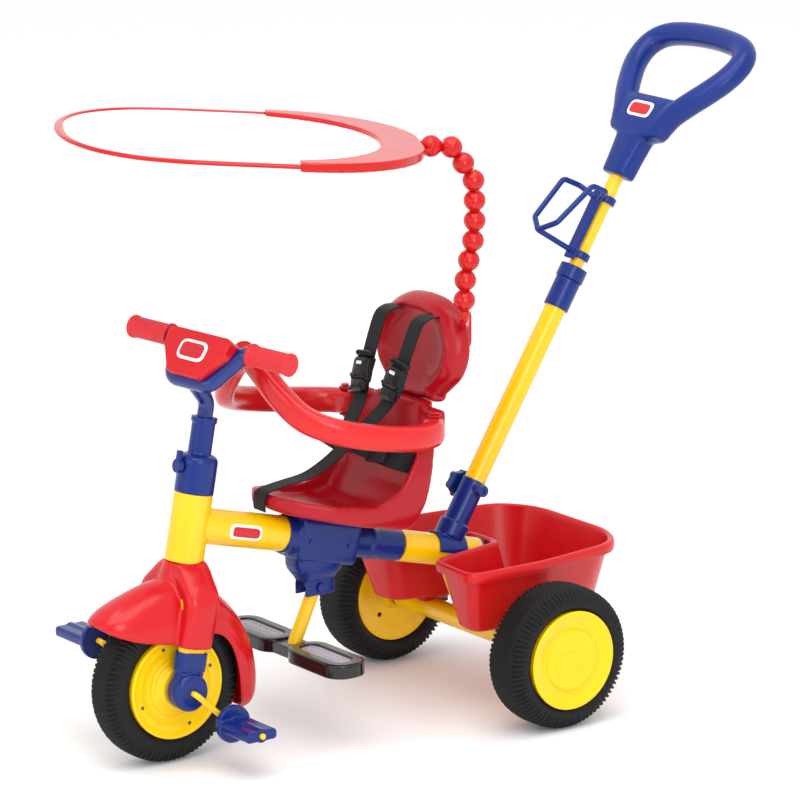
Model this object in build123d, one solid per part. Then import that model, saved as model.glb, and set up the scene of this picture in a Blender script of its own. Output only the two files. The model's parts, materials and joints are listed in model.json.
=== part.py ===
"""Children's tricycle with push pole, bucket seat, guard ring, footrest, basket and canopy.

Millimetres. +X is the rider's left, -Y is the way the tricycle travels, +Z is up.
While modelling, Y = 0 is the rear axle, X = 0 the middle plane and Z = 0 the ground.
At the end every node is moved so that the origin is the centre of the bottom of the whole box.
"""
from build123d import *
from math import cos, radians, sin, tan
import os

# ---- overall sizes -------------------------------------------------------------------------
WHEELBASE = 563.0
FRONT_WHEEL_R = 118.6
REAR_WHEEL_R = 110.0
REAR_TYRE_OUTER_X = 262.7
REAR_TYRE_WIDTH = 80.5
FRONT_TYRE_WIDTH = 62.0
REAR_RIM_R = 79.0
FRONT_RIM_R = 82.0

# ---- clearances ----------------------------------------------------------------------------
RUN = 0.06            # radial gap of a shaft that turns in its bore
SNUG = 0.05           # gap between pieces of one body that touch
SOFT = 0.3            # gap around soft pieces
LINK_GAP = 0.8        # gap between two gooseneck beads

# ---- frame ---------------------------------------------------------------------------------
HEAD_LEAN = 11.0      # degrees, top leans back
HEAD_BASE_Z = 301.4
HEAD_LENGTH = 96.2
HEAD_R = 29.4
HEAD_WALL = 2.5
WHEEL_AHEAD = 2.5     # front wheel centre ahead of the steering axis
HEADSET_FLANGE = 3.0
BEAM_DROP = 14.3      # degrees, falls to the rear
BEAM_Z_AT_AXLE = 220.5
BEAM_FRONT_R = 27.3
BEAM_CORE_R = 21.0    # the stretch inside the housing
BEAM_REAR_R = 24.5
BEAM_WALL = 2.2
BEAM_END_Y = 10.0
END_CAP_LENGTH = 9.0
HOUSING_FRONT_Y = -355.0
HOUSING_BLOCK_Y = (-335.0, -230.0)
HOUSING_REAR_Y = -137.0
HOUSING_COLLAR_R = 29.5
HOUSING_WIDTH = 66.0
HOUSING_HEIGHT = 69.0
BOSS_WIDTH = 30.0
BOSS_Y = -290.0
BOSS_LENGTH = 58.0
BOSS_BOTTOM_Z = 206.0
AXLE_TUBE_R = 17.0
AXLE_TUBE_WALL = 2.0
AXLE_R = 5.0
STRUT_R = 14.0
STRUT_TOP_Y = -50.0

# ---- front end -----------------------------------------------------------------------------
STEERER_R = 16.0
CROWN_TOP = -8.0      # below the foot of the head tube
CROWN_HEIGHT = 18.0
CROWN_COLLAR_R = 24.0
LEG_X = 55.0
LEG_DEPTH = 44.0
LEG_THICKNESS = 22.0
FORK_END_R = 29.0
FORK_END_X = (44.0, 77.0)
CRANK_R = 4.5
CRANK_LENGTH = 74.0
CRANK_ANGLE = 43.0    # degrees below level, near crank towards the rear
CRANK_ARM_X = 84.6
CRANK_BEND = 7.0
PEDAL_INNER_X = 94.0
PEDAL_LENGTH = 80.0
PEDAL_DEPTH = 52.0
PEDAL_THICKNESS = 16.0
PEDAL_DISC_R = 28.5
FENDER_WALL = 3.5
FENDER_HALF_WIDTH = 42.0
COUPLER_BULB_R = 29.6
COUPLER_NECK_R = 17.6
COUPLER_TOP = 213.0   # height above the foot of the head tube, along the steering axis
STEM_R = 12.0
BAR_R = 12.5
GRIP_R = 16.0
GRIP_INNER_X = 78.0
GRIP_OUTER_X = 155.0
GRIP_GAP = 0.2
BAR_BACK = -8.3       # grips ahead of the steering axis
BAR_HEIGHT = 319.0    # along the steering axis
HANDLEBAR_TURN = 14.4  # degrees, as it is parked with the clutch released
KNOB_HEIGHT = 138.0

# ---- seat ----------------------------------------------------------------------------------
SEAT_HALF_WIDTH = 102.0
SEAT_WALL = 13.0
SEAT_TOP_Z = 490.0
BACK_HALF_WIDTH = 106.0
BACK_TOP_Z = 641.0
BACK_THICKNESS = 27.0
STRAP_WIDTH = 30.0
STRAP_THICKNESS = 2.0
GUARD_R = 16.0
GUARD_BEND = 36.0
GUARD_HINGE = (114.0, -150.0, 462.0)
GUARD_PIN_R = 4.0
BARREL_R = 16.0
BARREL_HEIGHT = 32.0

# ---- basket and footrest -------------------------------------------------------------------
BASKET_RIM_Z = 242.0
BASKET_FLOOR_Z = 138.0
BASKET_WALL = 3.0
BASKET_RIM_HEIGHT = 18.0
BASKET_RIM_LIP = 6.0
FOOTREST_PIVOT = (-290.0, 219.0)
FOOTREST_LEAN = 25.0
FOOTREST_POST_R = 10.5
FOOTREST_TOP_Z = 141.0
PLATFORM_X = 87.0
PLATFORM_LENGTH = 143.0
PLATFORM_DEPTH = 68.0
PLATFORM_THICKNESS = 22.0

# ---- push pole -----------------------------------------------------------------------------
POLE_FOOT = (0.0, -39.8, 251.2)
POLE_LEAN = 32.1
SOCKET_R = 19.4
SOCKET_TOP = 97.0
LOWER_TUBE_R = 17.0
UPPER_TUBE_R = 11.0
SLEEVE_R = 20.0
SLEEVE_BOTTOM = 392.0
RING_BOTTOM = 440.0
RING_TOP = 462.0
RING_R = 22.0
CLAMP_HEIGHT = 85.0
HANDLE_BOTTOM = 619.0
HANDLE_WALL = 3.5
CAGE_CLAMPS = (482.0, 578.0)
CAGE_DEPTH = 78.0
CAGE_X = 33.0
CAGE_BAR_R = 4.5

# ---- gooseneck and canopy ------------------------------------------------------------------
BEAD_R = 16.5
BEAD_PITCH = 30.4
BEAD_START = (122.0, -99.0, 654.0)
BEAD_LEANS = (-3.0, -10.0, -12.0, -5.0, 0.0, 3.0, 30.0, 36.0, 85.0)
CANOPY_SWIVEL = 27.6  # degrees from straight ahead, towards the rider's right
CANOPY_RISE = 4.4
CANOPY_LENGTH = 540.0
CANOPY_WIDTH = 430.0
CANOPY_CORNER_R = 190.0
YOKE_REACH = 206.0    # from the yoke's neck to the ends of its thick arms
YOKE_DEPTH = 62.0     # of the plate between the neck and the cloth
YOKE_ARM_WIDTH = 17.0
YOKE_THICKNESS = 14.0
HOOP_WIDTH = 9.0
HOOP_THICKNESS = 7.0
BOW_WIDTH = 20.0      # of the hoop at the canopy's tip
FABRIC_THICKNESS = 1.6
FABRIC_INSET = 4.0    # edge of the cloth inside the yoke and hoop

HALF_TRACK_INNER = REAR_TYRE_OUTER_X - REAR_TYRE_WIDTH


# ---- helpers -------------------------------------------------------------------------------
def along(start, end):
    """Plane at start whose normal points to end."""
    return Plane(origin=start, z_dir=Vector(*end) - Vector(*start))


def rod(start, end, radius):
    length = (Vector(*end) - Vector(*start)).length
    return along(start, end) * Cylinder(radius, length, align=(Align.CENTER, Align.CENTER, Align.MIN))


def disc(plane, low, high, radius, bore=0.0):
    """Ring or disc about a plane's normal, from low to high along it."""
    align = (Align.CENTER, Align.CENTER, Align.MIN)
    ring = Cylinder(radius, high - low, align=align)
    if bore > 0:
        ring -= Cylinder(bore, high - low, align=align)
    return plane * Pos(0, 0, low) * ring


def outline(points, radius, plane=Plane.XY):
    """Face inside a closed polyline with rounded corners."""
    if radius:
        return make_face(plane * FilletPolyline(*points, radius=radius, close=True))
    return make_face(plane * Polyline(*points, close=True))


def side_slab(points, x_low, x_high, radius=0):
    """Solid with the given outline in Y and Z, between two X planes."""
    face = outline(points, radius, Plane.YZ.offset(x_low))
    return extrude(face, amount=x_high - x_low, dir=(1, 0, 0))


def bent_tube(points, bend, radius, bore=0.0):
    """Tube along straight runs joined by arcs."""
    path = FilletPolyline(*points, radius=bend)
    start = Plane(origin=path @ 0, z_dir=path % 0)
    tube = sweep(start * Circle(radius), path=path)
    if bore > 0:
        tube -= sweep(start * Circle(bore), path=path)
    return tube


def mirrored(shape):
    return mirror(shape, about=Plane.YZ)


def group(*shapes):
    """Several separate solids as one node."""
    solids = [solid for shape in shapes for solid in shape.solids()]
    return Compound(children=[Part(solid.wrapped) for solid in solids])


def ribbon(points, width, thickness, across=(1, 0, 0)):
    """Flat strap through points: straight runs whose width lies along across."""
    strap = None
    for start, end in zip(points, points[1:]):
        run = Vector(*end) - Vector(*start)
        flat = Vector(*across)
        flat = flat - run * (flat.dot(run) / run.dot(run))
        plane = Plane(origin=start, z_dir=run, x_dir=flat)
        align = (Align.CENTER, Align.CENTER, Align.MIN)
        piece = plane * Box(width, thickness, run.length, align=align)
        strap = piece if strap is None else strap + piece
    for middle in points[1:-1]:
        lay = Plane(origin=middle, z_dir=Vector(*across))
        strap += lay * Cylinder(thickness / 2, width)
    return strap


# ---- reference planes ----------------------------------------------------------------------
HEAD_TILT = tan(radians(HEAD_LEAN))
HEAD_BASE_Y = -WHEELBASE + WHEEL_AHEAD + (HEAD_BASE_Z - FRONT_WHEEL_R) * HEAD_TILT
HEAD = Plane(
    origin=(0, HEAD_BASE_Y, HEAD_BASE_Z),
    x_dir=(1, 0, 0),
    z_dir=(0, sin(radians(HEAD_LEAN)), cos(radians(HEAD_LEAN))),
)
BEAM_DIR = Vector(0, cos(radians(BEAM_DROP)), -sin(radians(BEAM_DROP)))
BEAM = Plane(origin=(0, 0, BEAM_Z_AT_AXLE), x_dir=(1, 0, 0), z_dir=BEAM_DIR)
POLE_DIR = Vector(0, sin(radians(POLE_LEAN)), cos(radians(POLE_LEAN)))
POLE = Plane(origin=POLE_FOOT, x_dir=(1, 0, 0), z_dir=POLE_DIR)
HANDLEBAR = HEAD * Plane(origin=(0, 0, 0), x_dir=(1, 0, 0), z_dir=(0, 0, 1)).rotated((0, 0, HANDLEBAR_TURN))
FRONT_AXLE = (0.0, -WHEELBASE, FRONT_WHEEL_R)
REAR_AXLE_Z = REAR_WHEEL_R


def beam_at(y):
    """Distance along the beam plane's normal of the point at a given Y."""
    return y / cos(radians(BEAM_DROP))


def beam_z(y):
    return BEAM_Z_AT_AXLE - y * tan(radians(BEAM_DROP))


def side_axis(y, z):
    """Plane whose normal is +X, at a given Y and Z."""
    return Plane(origin=(0, y, z), x_dir=(0, 1, 0), z_dir=(1, 0, 0))


# ---- frame ---------------------------------------------------------------------------------
def head_tube():
    return disc(HEAD, 0, HEAD_LENGTH, HEAD_R, HEAD_R - HEAD_WALL)


def main_beam():
    front = beam_at(HEAD_BASE_Y)
    core_start = beam_at(HOUSING_FRONT_Y + 14)
    core_end = beam_at(HOUSING_REAR_Y)
    end = beam_at(BEAM_END_Y)
    beam = disc(BEAM, front, core_start, BEAM_FRONT_R)
    beam += disc(BEAM, core_start, core_end, BEAM_CORE_R)
    beam += disc(BEAM, core_end, end, BEAM_REAR_R)
    beam -= disc(BEAM, front, end, BEAM_CORE_R - BEAM_WALL)
    return beam - disc(HEAD, -HEAD_LENGTH, 2 * HEAD_LENGTH, HEAD_R + SNUG)


def rear_frame():
    tube = disc(side_axis(0, REAR_AXLE_Z), -HALF_TRACK_INNER + 8, HALF_TRACK_INNER - 8, AXLE_TUBE_R)
    top = (0, STRUT_TOP_Y, beam_z(STRUT_TOP_Y))
    strut = rod((0, 0, REAR_AXLE_Z), top, STRUT_R)
    frame = tube + strut
    frame -= disc(side_axis(0, REAR_AXLE_Z), -HALF_TRACK_INNER, HALF_TRACK_INNER,
                  AXLE_TUBE_R - AXLE_TUBE_WALL)
    return frame - disc(BEAM, beam_at(-250), beam_at(100), BEAM_REAR_R + SNUG)


def housing():
    """Both shells of the beam housing, before they are split down the middle."""
    low, high = beam_at(HOUSING_BLOCK_Y[0]), beam_at(HOUSING_BLOCK_Y[1])
    block = housing_block(0)
    collar = disc(BEAM, beam_at(HOUSING_FRONT_Y), low, HOUSING_COLLAR_R)
    tail = disc(BEAM, high, beam_at(HOUSING_REAR_Y) - SNUG, BEAM_REAR_R)
    ridge = disc(BEAM, high + 34, high + 42, BEAM_REAR_R + 1.6)
    boss = Pos(0, BOSS_Y, 0) * Box(BOSS_WIDTH, BOSS_LENGTH, beam_z(BOSS_Y) - BOSS_BOTTOM_Z)
    boss = Pos(0, 0, (beam_z(BOSS_Y) + BOSS_BOTTOM_Z) / 2) * boss
    boss = fillet(boss.edges().filter_by(Axis.Z), 6)
    body = block + collar + tail + ridge + boss
    body -= disc(BEAM, beam_at(-500), beam_at(100), BEAM_CORE_R + SNUG)
    body -= disc(BEAM, beam_at(-500), beam_at(HOUSING_FRONT_Y + 14) + SNUG, BEAM_FRONT_R + SNUG)
    return body - footrest_pocket()


def housing_block(grow):
    low, high = beam_at(HOUSING_BLOCK_Y[0]), beam_at(HOUSING_BLOCK_Y[1])
    block = Box(HOUSING_WIDTH + grow, HOUSING_HEIGHT + grow, high - low + grow)
    return BEAM * Pos(0, 0, (low + high) / 2) * fillet(block.edges().filter_by(Axis.Z), 12)


def footrest_pocket():
    """Slot in the boss where the footrest post swings, and the bore of its pin."""
    y, z = FOOTREST_PIVOT
    slot = Pos(0, y, z - 20) * Box(2 * FOOTREST_POST_R + 1.2, 2 * BOSS_LENGTH, 66)
    return slot + disc(side_axis(y, z), -BOSS_WIDTH, BOSS_WIDTH, 4.0)


def half(shape, side):
    """The part of a shape with X of one sign."""
    return shape & Pos(side * 500, 0, 500) * Box(1000 - SNUG, 4000, 4000)


def headset_bushes():
    bore = STEERER_R + RUN
    lower = disc(HEAD, -HEADSET_FLANGE, 0, HEAD_R, bore)
    lower += disc(HEAD, 0, 14, HEAD_R - HEAD_WALL - SNUG, bore)
    upper = disc(HEAD, HEAD_LENGTH, HEAD_LENGTH + HEADSET_FLANGE, HEAD_R, bore)
    upper += disc(HEAD, HEAD_LENGTH - 14, HEAD_LENGTH, HEAD_R - HEAD_WALL - SNUG, bore)
    return group(lower, upper)


def beam_end_cap():
    end = beam_at(BEAM_END_Y)
    cap = disc(BEAM, end, end + END_CAP_LENGTH, BEAM_REAR_R)
    cap = fillet(cap.edges().sort_by(Axis.Y)[-1], 4)
    return cap + disc(BEAM, end - 16, end, BEAM_CORE_R - BEAM_WALL - SNUG)


def frame_screws():
    """Screws through the housing, the footrest pin and the nut of the pole clamp."""
    y, z = FOOTREST_PIVOT
    pin = disc(side_axis(y, z), -BOSS_WIDTH / 2, BOSS_WIDTH / 2, 4.0 - SNUG)
    head = disc(side_axis(y, z), BOSS_WIDTH / 2, BOSS_WIDTH / 2 + 3, 6.5)
    screws = [pin + head]
    for screw_y in (-318.0, -248.0):
        start = beam_z(screw_y) - 4
        screws.append(disc(side_axis(screw_y, start), HOUSING_WIDTH / 2, HOUSING_WIDTH / 2 + 1.5, 4.5))
    clamp = clamp_axis()
    screws.append(disc(clamp, SOCKET_R + 4, SOCKET_R + 12, 9.0, 3.0 + RUN))
    return group(*screws)


# ---- seat and harness ----------------------------------------------------------------------
def seat_plan(inset):
    """Plan outline of the seat: a narrow nose that widens to the back."""
    half_shape = [(26, -386), (60, -362), (86, -314), (SEAT_HALF_WIDTH, -246), (SEAT_HALF_WIDTH, -60)]
    right = [(max(x - inset, 6), y + inset) for x, y in half_shape]
    left = [(-x, y) for x, y in reversed(right)]
    return extrude(outline(right + left, 20), amount=900, dir=(0, 0, 1))


def seat_pan():
    """Bucket on the beam housing: pan, low side rims and the foot of the back."""
    floor = beam_z(0) + HOUSING_HEIGHT / 2 / cos(radians(BEAM_DROP)) + SNUG
    slope = tan(radians(BEAM_DROP))
    body = side_slab(
        [(-387, floor + 387 * slope + 6), (-376, floor + 376 * slope), (-190, floor + 190 * slope),
        (-172, 304),
         (-150, 345), (-134, 420), (-108, SEAT_TOP_Z), (-133, SEAT_TOP_Z), (-152, 456), (-172, 412),
         (-200, 371),
         (-240, 353), (-300, 360), (-376, 378), (-387, 372)],
        -SEAT_HALF_WIDTH, SEAT_HALF_WIDTH)
    scoop = side_slab(
        [(-420, 366), (-372, 369), (-300, 348), (-232, 334), (-200, 340), (-176, 372), (-156, 432),
         (-131, SEAT_TOP_Z + 5), (-420, SEAT_TOP_Z + 5)],
        -SEAT_HALF_WIDTH, SEAT_HALF_WIDTH)
    front = [(58, 500), (62, 480), (84, 455), (98, 420), (SEAT_HALF_WIDTH, 380), (SEAT_HALF_WIDTH - 6, 325),
             (80, 295)]
    upper = extrude(outline(front + [(-x, z) for x, z in reversed(front)], 10, Plane.XZ), amount=900,
        both=True)
    pan = (body & seat_plan(0) & upper) - (scoop & seat_plan(SEAT_WALL))
    pan -= disc(BEAM, beam_at(-500), beam_at(100), BEAM_FRONT_R + 4)
    pan -= housing_block(2 * SNUG)
    x, y, z = GUARD_HINGE
    barrel_room = Pos(x, y, z) * Cylinder(BARREL_R + 1.5, BARREL_HEIGHT + 1)
    pin_room = Pos(x, y, z) * Cylinder(GUARD_PIN_R + SNUG, 80)
    pan += guard_ear() + mirrored(guard_ear())
    return pan - barrel_room - mirrored(barrel_room) - pin_room - mirrored(pin_room)


def guard_ear():
    """Two lugs that hold one hinge pin, with the stem that ties them to the seat."""
    x, y, z = GUARD_HINGE
    reach = BARREL_HEIGHT / 2 + 0.5
    stem = Pos(x - 26, y + 22, z) * Box(44, 12, 2 * reach + 16)
    for low in (z - reach - 8, z + reach):
        plate = Pos(x, y, low) * Cylinder(12, 8, align=(Align.CENTER, Align.CENTER, Align.MIN))
        stem += plate + Pos(x - 20, y + 14, low + 4) * Box(32, 24, 8)
    return stem


def seat_backrest():
    side = side_slab([(-130, SEAT_TOP_Z + SNUG), (-101, SEAT_TOP_Z + SNUG), (-80, BACK_TOP_Z),
                      (-80 - BACK_THICKNESS, BACK_TOP_Z)], -BACK_HALF_WIDTH, BACK_HALF_WIDTH)
    w = BACK_HALF_WIDTH
    half_shape = [(56, 480), (62, 504), (88, 532), (w, 566), (w - 4, 604), (58, BACK_TOP_Z)]
    front = outline(half_shape + [(-x, z) for x, z in reversed(half_shape)], 14, Plane.XZ)
    back = side & extrude(front, amount=300, both=True)
    for x in (-46.0, 46.0):
        back -= Pos(x, -100, 616.6) * Box(STRAP_WIDTH + 2, 60, STRAP_THICKNESS + 1.4)
    return back


def shoulder_straps():
    strap = ribbon(
        [(46, -96, 616.6), (46, -115, 616.6), (46, -130, 608), (44, -150, 560), (36, -172, 500),
         (17, -214, 452)],
        STRAP_WIDTH, STRAP_THICKNESS)
    return group(strap, mirrored(strap))


def lap_straps():
    strap = ribbon([(86.4, -166, 405), (75, -190, 413), (19, -226, 434)],
                   STRAP_WIDTH, STRAP_THICKNESS, across=(0.1, 0.55, 1))
    return group(strap, mirrored(strap))


def crotch_strap():
    return ribbon([(0, -387.6, 352), (0, -387.6, 379), (0, -374, 381), (0, -300, 392), (0, -236, 424)],
                  STRAP_WIDTH, STRAP_THICKNESS)


def harness_buckles():
    hub = Plane(origin=(0, -221, 442), x_dir=(1, 0, 0), z_dir=(0, -1, 0.55)) * Box(40, 44, 8)
    hub = hub - shoulder_straps() - lap_straps() - crotch_strap()
    side = Plane(origin=(41, -164, 524), x_dir=(1, 0, 0), z_dir=(0, -0.93, 0.34))
    clip = side * Pos(0, 0, 4.2) * Box(38, 46, 7)
    lap = Plane(origin=(56, -208, 424), x_dir=(0.8, -0.4, 0.36), z_dir=(-0.1, -1, 0.55))
    buckle = lap * Pos(0, 0, 5) * Box(40, 34, 7)
    clip -= shoulder_straps()
    buckle -= lap_straps()
    return group(hub, clip, mirrored(clip), buckle, mirrored(buckle))


def guard_path():
    x, y, z = GUARD_HINGE
    return [(x, y, z), (152, -196, 466), (150, -300, 480), (108, -376, 496), (48, -404, 552),
            (0.4, -408, 598)]


def guard_arm():
    """Left arm: tube from the hinge barrel to the middle of the front."""
    arm = bent_tube(guard_path(), GUARD_BEND, GUARD_R)
    x, y, z = GUARD_HINGE
    arm += Pos(x, y, z) * Cylinder(BARREL_R, BARREL_HEIGHT)
    arm -= Pos(x, y, z) * Cylinder(GUARD_PIN_R + RUN, BARREL_HEIGHT + 40)
    arm -= Pos(x, y, z + BARREL_HEIGHT / 2 + 30) * Box(70, 70, 60)
    arm -= Pos(x, y, z - BARREL_HEIGHT / 2 - 30) * Box(70, 70, 60)
    return arm - Pos(-500 + 0.4, 0, 500) * Box(1000, 2000, 2000)


def guard_pins():
    x, y, z = GUARD_HINGE
    reach = BARREL_HEIGHT / 2 + 9
    pin = disc(Plane(origin=(x, y, z)), -reach, reach, GUARD_PIN_R)
    pin += disc(Plane(origin=(x, y, z)), reach, reach + 2, GUARD_PIN_R + 2)
    return group(pin, mirrored(pin))


# ---- basket --------------------------------------------------------------------------------
def basket_outline(inset, z):
    """Plan outline of the basket, its sides set in by the same amount, open at the beam."""
    w = 165.0 - inset
    back = 209.0 - inset
    lobe = -116.0 + inset
    mouth = 62.0 + inset * 0.6
    slot = 36.0 + inset * 0.6
    notch = 31.0 + inset
    points = [(-w + 20, back - 44), (-90, back - 6), (90, back - 6), (w - 20, back - 44), (w, 20),
              (w - 4, lobe), (mouth, lobe + 8), (slot, notch), (-slot, notch), (-mouth, lobe + 8),
              (-w + 4, lobe),
              (-w, 20)]
    return outline(points, 17, Plane.XY.offset(z))


def basket():
    draft = 24.0
    outer = loft([basket_outline(draft, BASKET_FLOOR_Z), basket_outline(0, BASKET_RIM_Z)], ruled=True)
    inner = loft([basket_outline(draft + BASKET_WALL, BASKET_FLOOR_Z + BASKET_WALL),
                  basket_outline(BASKET_WALL, BASKET_RIM_Z + 0.01)], ruled=True)
    rim = extrude(basket_outline(-BASKET_RIM_LIP, BASKET_RIM_Z - BASKET_RIM_HEIGHT),
        amount=BASKET_RIM_HEIGHT,
                  dir=(0, 0, 1))
    rim -= extrude(basket_outline(BASKET_WALL, BASKET_RIM_Z - BASKET_RIM_HEIGHT), amount=BASKET_RIM_HEIGHT,
                  dir=(0, 0, 1))
    shell = outer + rim - inner
    for x in (-98.0, 98.0):
        foot = Pos(x, 0, (REAR_AXLE_Z + BASKET_FLOOR_Z + 1) / 2) * Box(26, 44,
            BASKET_FLOOR_Z + 1 - REAR_AXLE_Z)
        shell += foot - disc(side_axis(0, REAR_AXLE_Z), x - 20, x + 20, AXLE_TUBE_R + SNUG)
    return shell


# ---- rear wheels ---------------------------------------------------------------------------
def rear_axle():
    return disc(side_axis(0, REAR_AXLE_Z), -REAR_TYRE_OUTER_X + 18, REAR_TYRE_OUTER_X - 18, AXLE_R)


def axle_fittings():
    """Bushes at the ends of the axle tube and the push nuts outside the hubs."""
    axis = side_axis(0, REAR_AXLE_Z)
    end = HALF_TRACK_INNER - 8
    bush = disc(axis, end - 16, end, AXLE_TUBE_R - AXLE_TUBE_WALL - SNUG, AXLE_R + SNUG)
    bush += disc(axis, end, end + 4, AXLE_TUBE_R, AXLE_R + SNUG)
    nut = disc(axis, REAR_TYRE_OUTER_X - 25, REAR_TYRE_OUTER_X - 20, 9.0, AXLE_R + SNUG)
    return group(bush, nut, mirrored(bush), mirrored(nut))


def spun(points, y, z):
    """Solid of revolution about the line along X at a given Y and Z, from (x, radius) points."""
    face = outline([(x, radius) for x, radius in points], 0)
    return Pos(0, y, z) * revolve(face, axis=Axis.X, revolution_arc=360)


def tyre(inner_x, outer_x, radius, rim_radius, shoulder):
    """Blow-moulded tyre: a ring with wide rounded shoulders."""
    seat = rim_radius - 5
    profile = outline([(inner_x, rim_radius), (inner_x, radius - shoulder), (inner_x + shoulder * 0.6,
        radius),
                       (outer_x - shoulder * 0.6, radius), (outer_x, radius - shoulder), (outer_x,
                       rim_radius),
                       (outer_x - 6, seat), (inner_x + 6, seat)], 3)
    return revolve(profile, axis=Axis.X, revolution_arc=360)


def rear_tyre():
    inner = HALF_TRACK_INNER
    return Pos(0, 0, REAR_AXLE_Z) * tyre(inner, REAR_TYRE_OUTER_X - 3, REAR_WHEEL_R, REAR_RIM_R, 20)


def rear_rim():
    """Dished rim with its hub, open to the outside where the cap closes it."""
    inner = HALF_TRACK_INNER
    seat = REAR_RIM_R - 5 - SNUG
    outer = REAR_TYRE_OUTER_X
    rim = spun([(inner + 7, seat), (inner + 7, seat - 5), (inner + 12, seat - 22), (inner + 12, 24),
                (inner + 1, 20), (inner + 1, 0), (outer - 25.6, 0), (outer - 25.6, 12), (inner + 15, 14),
                (inner + 15, seat - 24), (outer - 18, seat - 4), (outer - 10, seat - 4), (outer - 10,
                seat)],
               0, REAR_AXLE_Z)
    rim -= disc(side_axis(0, REAR_AXLE_Z), 0, REAR_TYRE_OUTER_X, AXLE_R + RUN)
    for turn in range(4):
        angle = radians(45 + 90 * turn)
        spot = side_axis(42 * cos(angle), REAR_AXLE_Z + 42 * sin(angle))
        rim -= disc(spot, inner, inner + 30, 4.0)
    return rim


def rear_cap():
    """Outer cover: raised lip, dish and a round medallion."""
    outer = REAR_TYRE_OUTER_X
    seat = REAR_RIM_R - 5 - SNUG
    return spun([(outer - 10 + SNUG, seat), (outer - 6, seat), (outer - 3, REAR_RIM_R - 2.5),
                 (outer - 1, REAR_RIM_R - 3), (outer, REAR_RIM_R - 6), (outer - 1, REAR_RIM_R - 9), (outer - 8, 50), (outer - 8, 47),
                 (outer - 4, 46), (outer - 4, 0), (outer - 8, 0), (outer - 8, 43), (outer - 12, 47),
                 (outer - 12, 52), (outer - 8, seat - 4), (outer - 10 + SNUG, seat - 4)], 0, REAR_AXLE_Z)


# ---- front end -----------------------------------------------------------------------------
def leg_section(grow=0.0):
    return SlotOverall(LEG_DEPTH + grow, LEG_THICKNESS + grow, rotation=90)


AXLE_BELOW_HEAD = (HEAD_BASE_Z - FRONT_WHEEL_R) / cos(radians(HEAD_LEAN))


def leg(low, high, grow=0.0):
    """A stretch of the left fork leg along the steering axis."""
    return HEAD * Pos(LEG_X, -1.5, low) * extrude(leg_section(grow), amount=high - low, dir=(0, 0, 1))


def fork():
    steerer = disc(HEAD, CROWN_TOP - CROWN_HEIGHT, COUPLER_TOP - 58, STEERER_R, STEM_R + 0.5)
    collar = disc(HEAD, CROWN_TOP - 4, -HEADSET_FLANGE - SNUG, CROWN_COLLAR_R, STEERER_R - 1)
    left = leg(-AXLE_BELOW_HEAD - 14, CROWN_TOP - 60)
    body = steerer + collar + (crown_arch(0) - crown_room(0)) + left + mirrored(left)
    body -= disc(HEAD, CROWN_TOP - CROWN_HEIGHT - 1, COUPLER_TOP, STEM_R + 0.5)
    return body - disc(side_axis(FRONT_AXLE[1], FRONT_AXLE[2]), -100, 100, CRANK_R + RUN + 0.5)


def fork_ends():
    """Plastic covers of the fork's feet, which carry the crank axle."""
    axis = side_axis(FRONT_AXLE[1], FRONT_AXLE[2])
    bulb = disc(axis, FORK_END_X[0], FORK_END_X[1], FORK_END_R)
    bulb = fillet(bulb.edges().filter_by(GeomType.CIRCLE), 9)
    collar = leg(-AXLE_BELOW_HEAD + 30, -AXLE_BELOW_HEAD + 58, 8)
    sleeve = leg(-AXLE_BELOW_HEAD, -AXLE_BELOW_HEAD + 40, 4)
    cover = bulb + collar + sleeve
    cover -= leg(-AXLE_BELOW_HEAD - 14.1, 0, 2 * SNUG)
    cover -= disc(axis, 0, 200, CRANK_R + RUN)
    return group(cover, mirrored(cover))


def fender():
    """Mudguard: an arched hood over the wheel with a sleeve over each fork leg."""
    outer = [(-668, 211), (-652, 233), (-622, 255), (-592, 272), (-566, 295), (-486, 284), (-456, 240),
             (-436, 196), (-429, 150), (-432, 100), (-448, 64)]
    roof = side_slab(outer, -FENDER_HALF_WIDTH, FENDER_HALF_WIDTH)
    roof -= side_slab([(-680, 204), (-649, 229), (-619, 251), (-589, 268), (-564, 290), (-489, 279),
        (-460, 238),
                       (-440, 195), (-433, 150), (-436, 100), (-454, 58)],
                      -FENDER_HALF_WIDTH + FENDER_WALL, FENDER_HALF_WIDTH - FENDER_WALL)
    roof -= disc(side_axis(FRONT_AXLE[1], FRONT_AXLE[2]), -200, 200, FRONT_WHEEL_R + 6)
    front = [(28, 8), (FENDER_HALF_WIDTH + 2, CROWN_TOP - 40), (FENDER_HALF_WIDTH + 2, -300)]
    front = outline(front + [(-x, z) for x, z in reversed(front)], 0, Plane.XZ)
    roof &= HEAD * extrude(front, amount=250, both=True)
    sleeve = leg(-122, CROWN_TOP - 60, 7)
    hood = roof + (crown_arch(7) - crown_room(FENDER_WALL)) + sleeve + mirrored(sleeve)
    hood -= crown_arch(2 * SNUG)
    hood -= disc(HEAD, CROWN_TOP - 60, 40, CROWN_COLLAR_R + SNUG)
    return hood - leg(-200, CROWN_TOP - 20, 2 * SNUG) - mirrored(leg(-200, CROWN_TOP - 20, 2 * SNUG))


def crown_arch(grow):
    """Arch of the fork crown across the wheel, narrow at the collar and as wide as the legs below."""
    top = 24.0 + grow
    foot = LEG_X + LEG_THICKNESS / 2 + grow
    half_shape = [(top, CROWN_TOP + grow * 0.45), (foot, CROWN_TOP - 46 + grow * 0.6), (foot,
        CROWN_TOP - 70)]
    face = outline(half_shape + [(-x, z) for x, z in reversed(half_shape)], 0, Plane.XZ)
    return HEAD * Pos(0, -1.5, 0) * extrude(face, amount=LEG_DEPTH / 2 + grow * 0.5, both=True)


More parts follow.
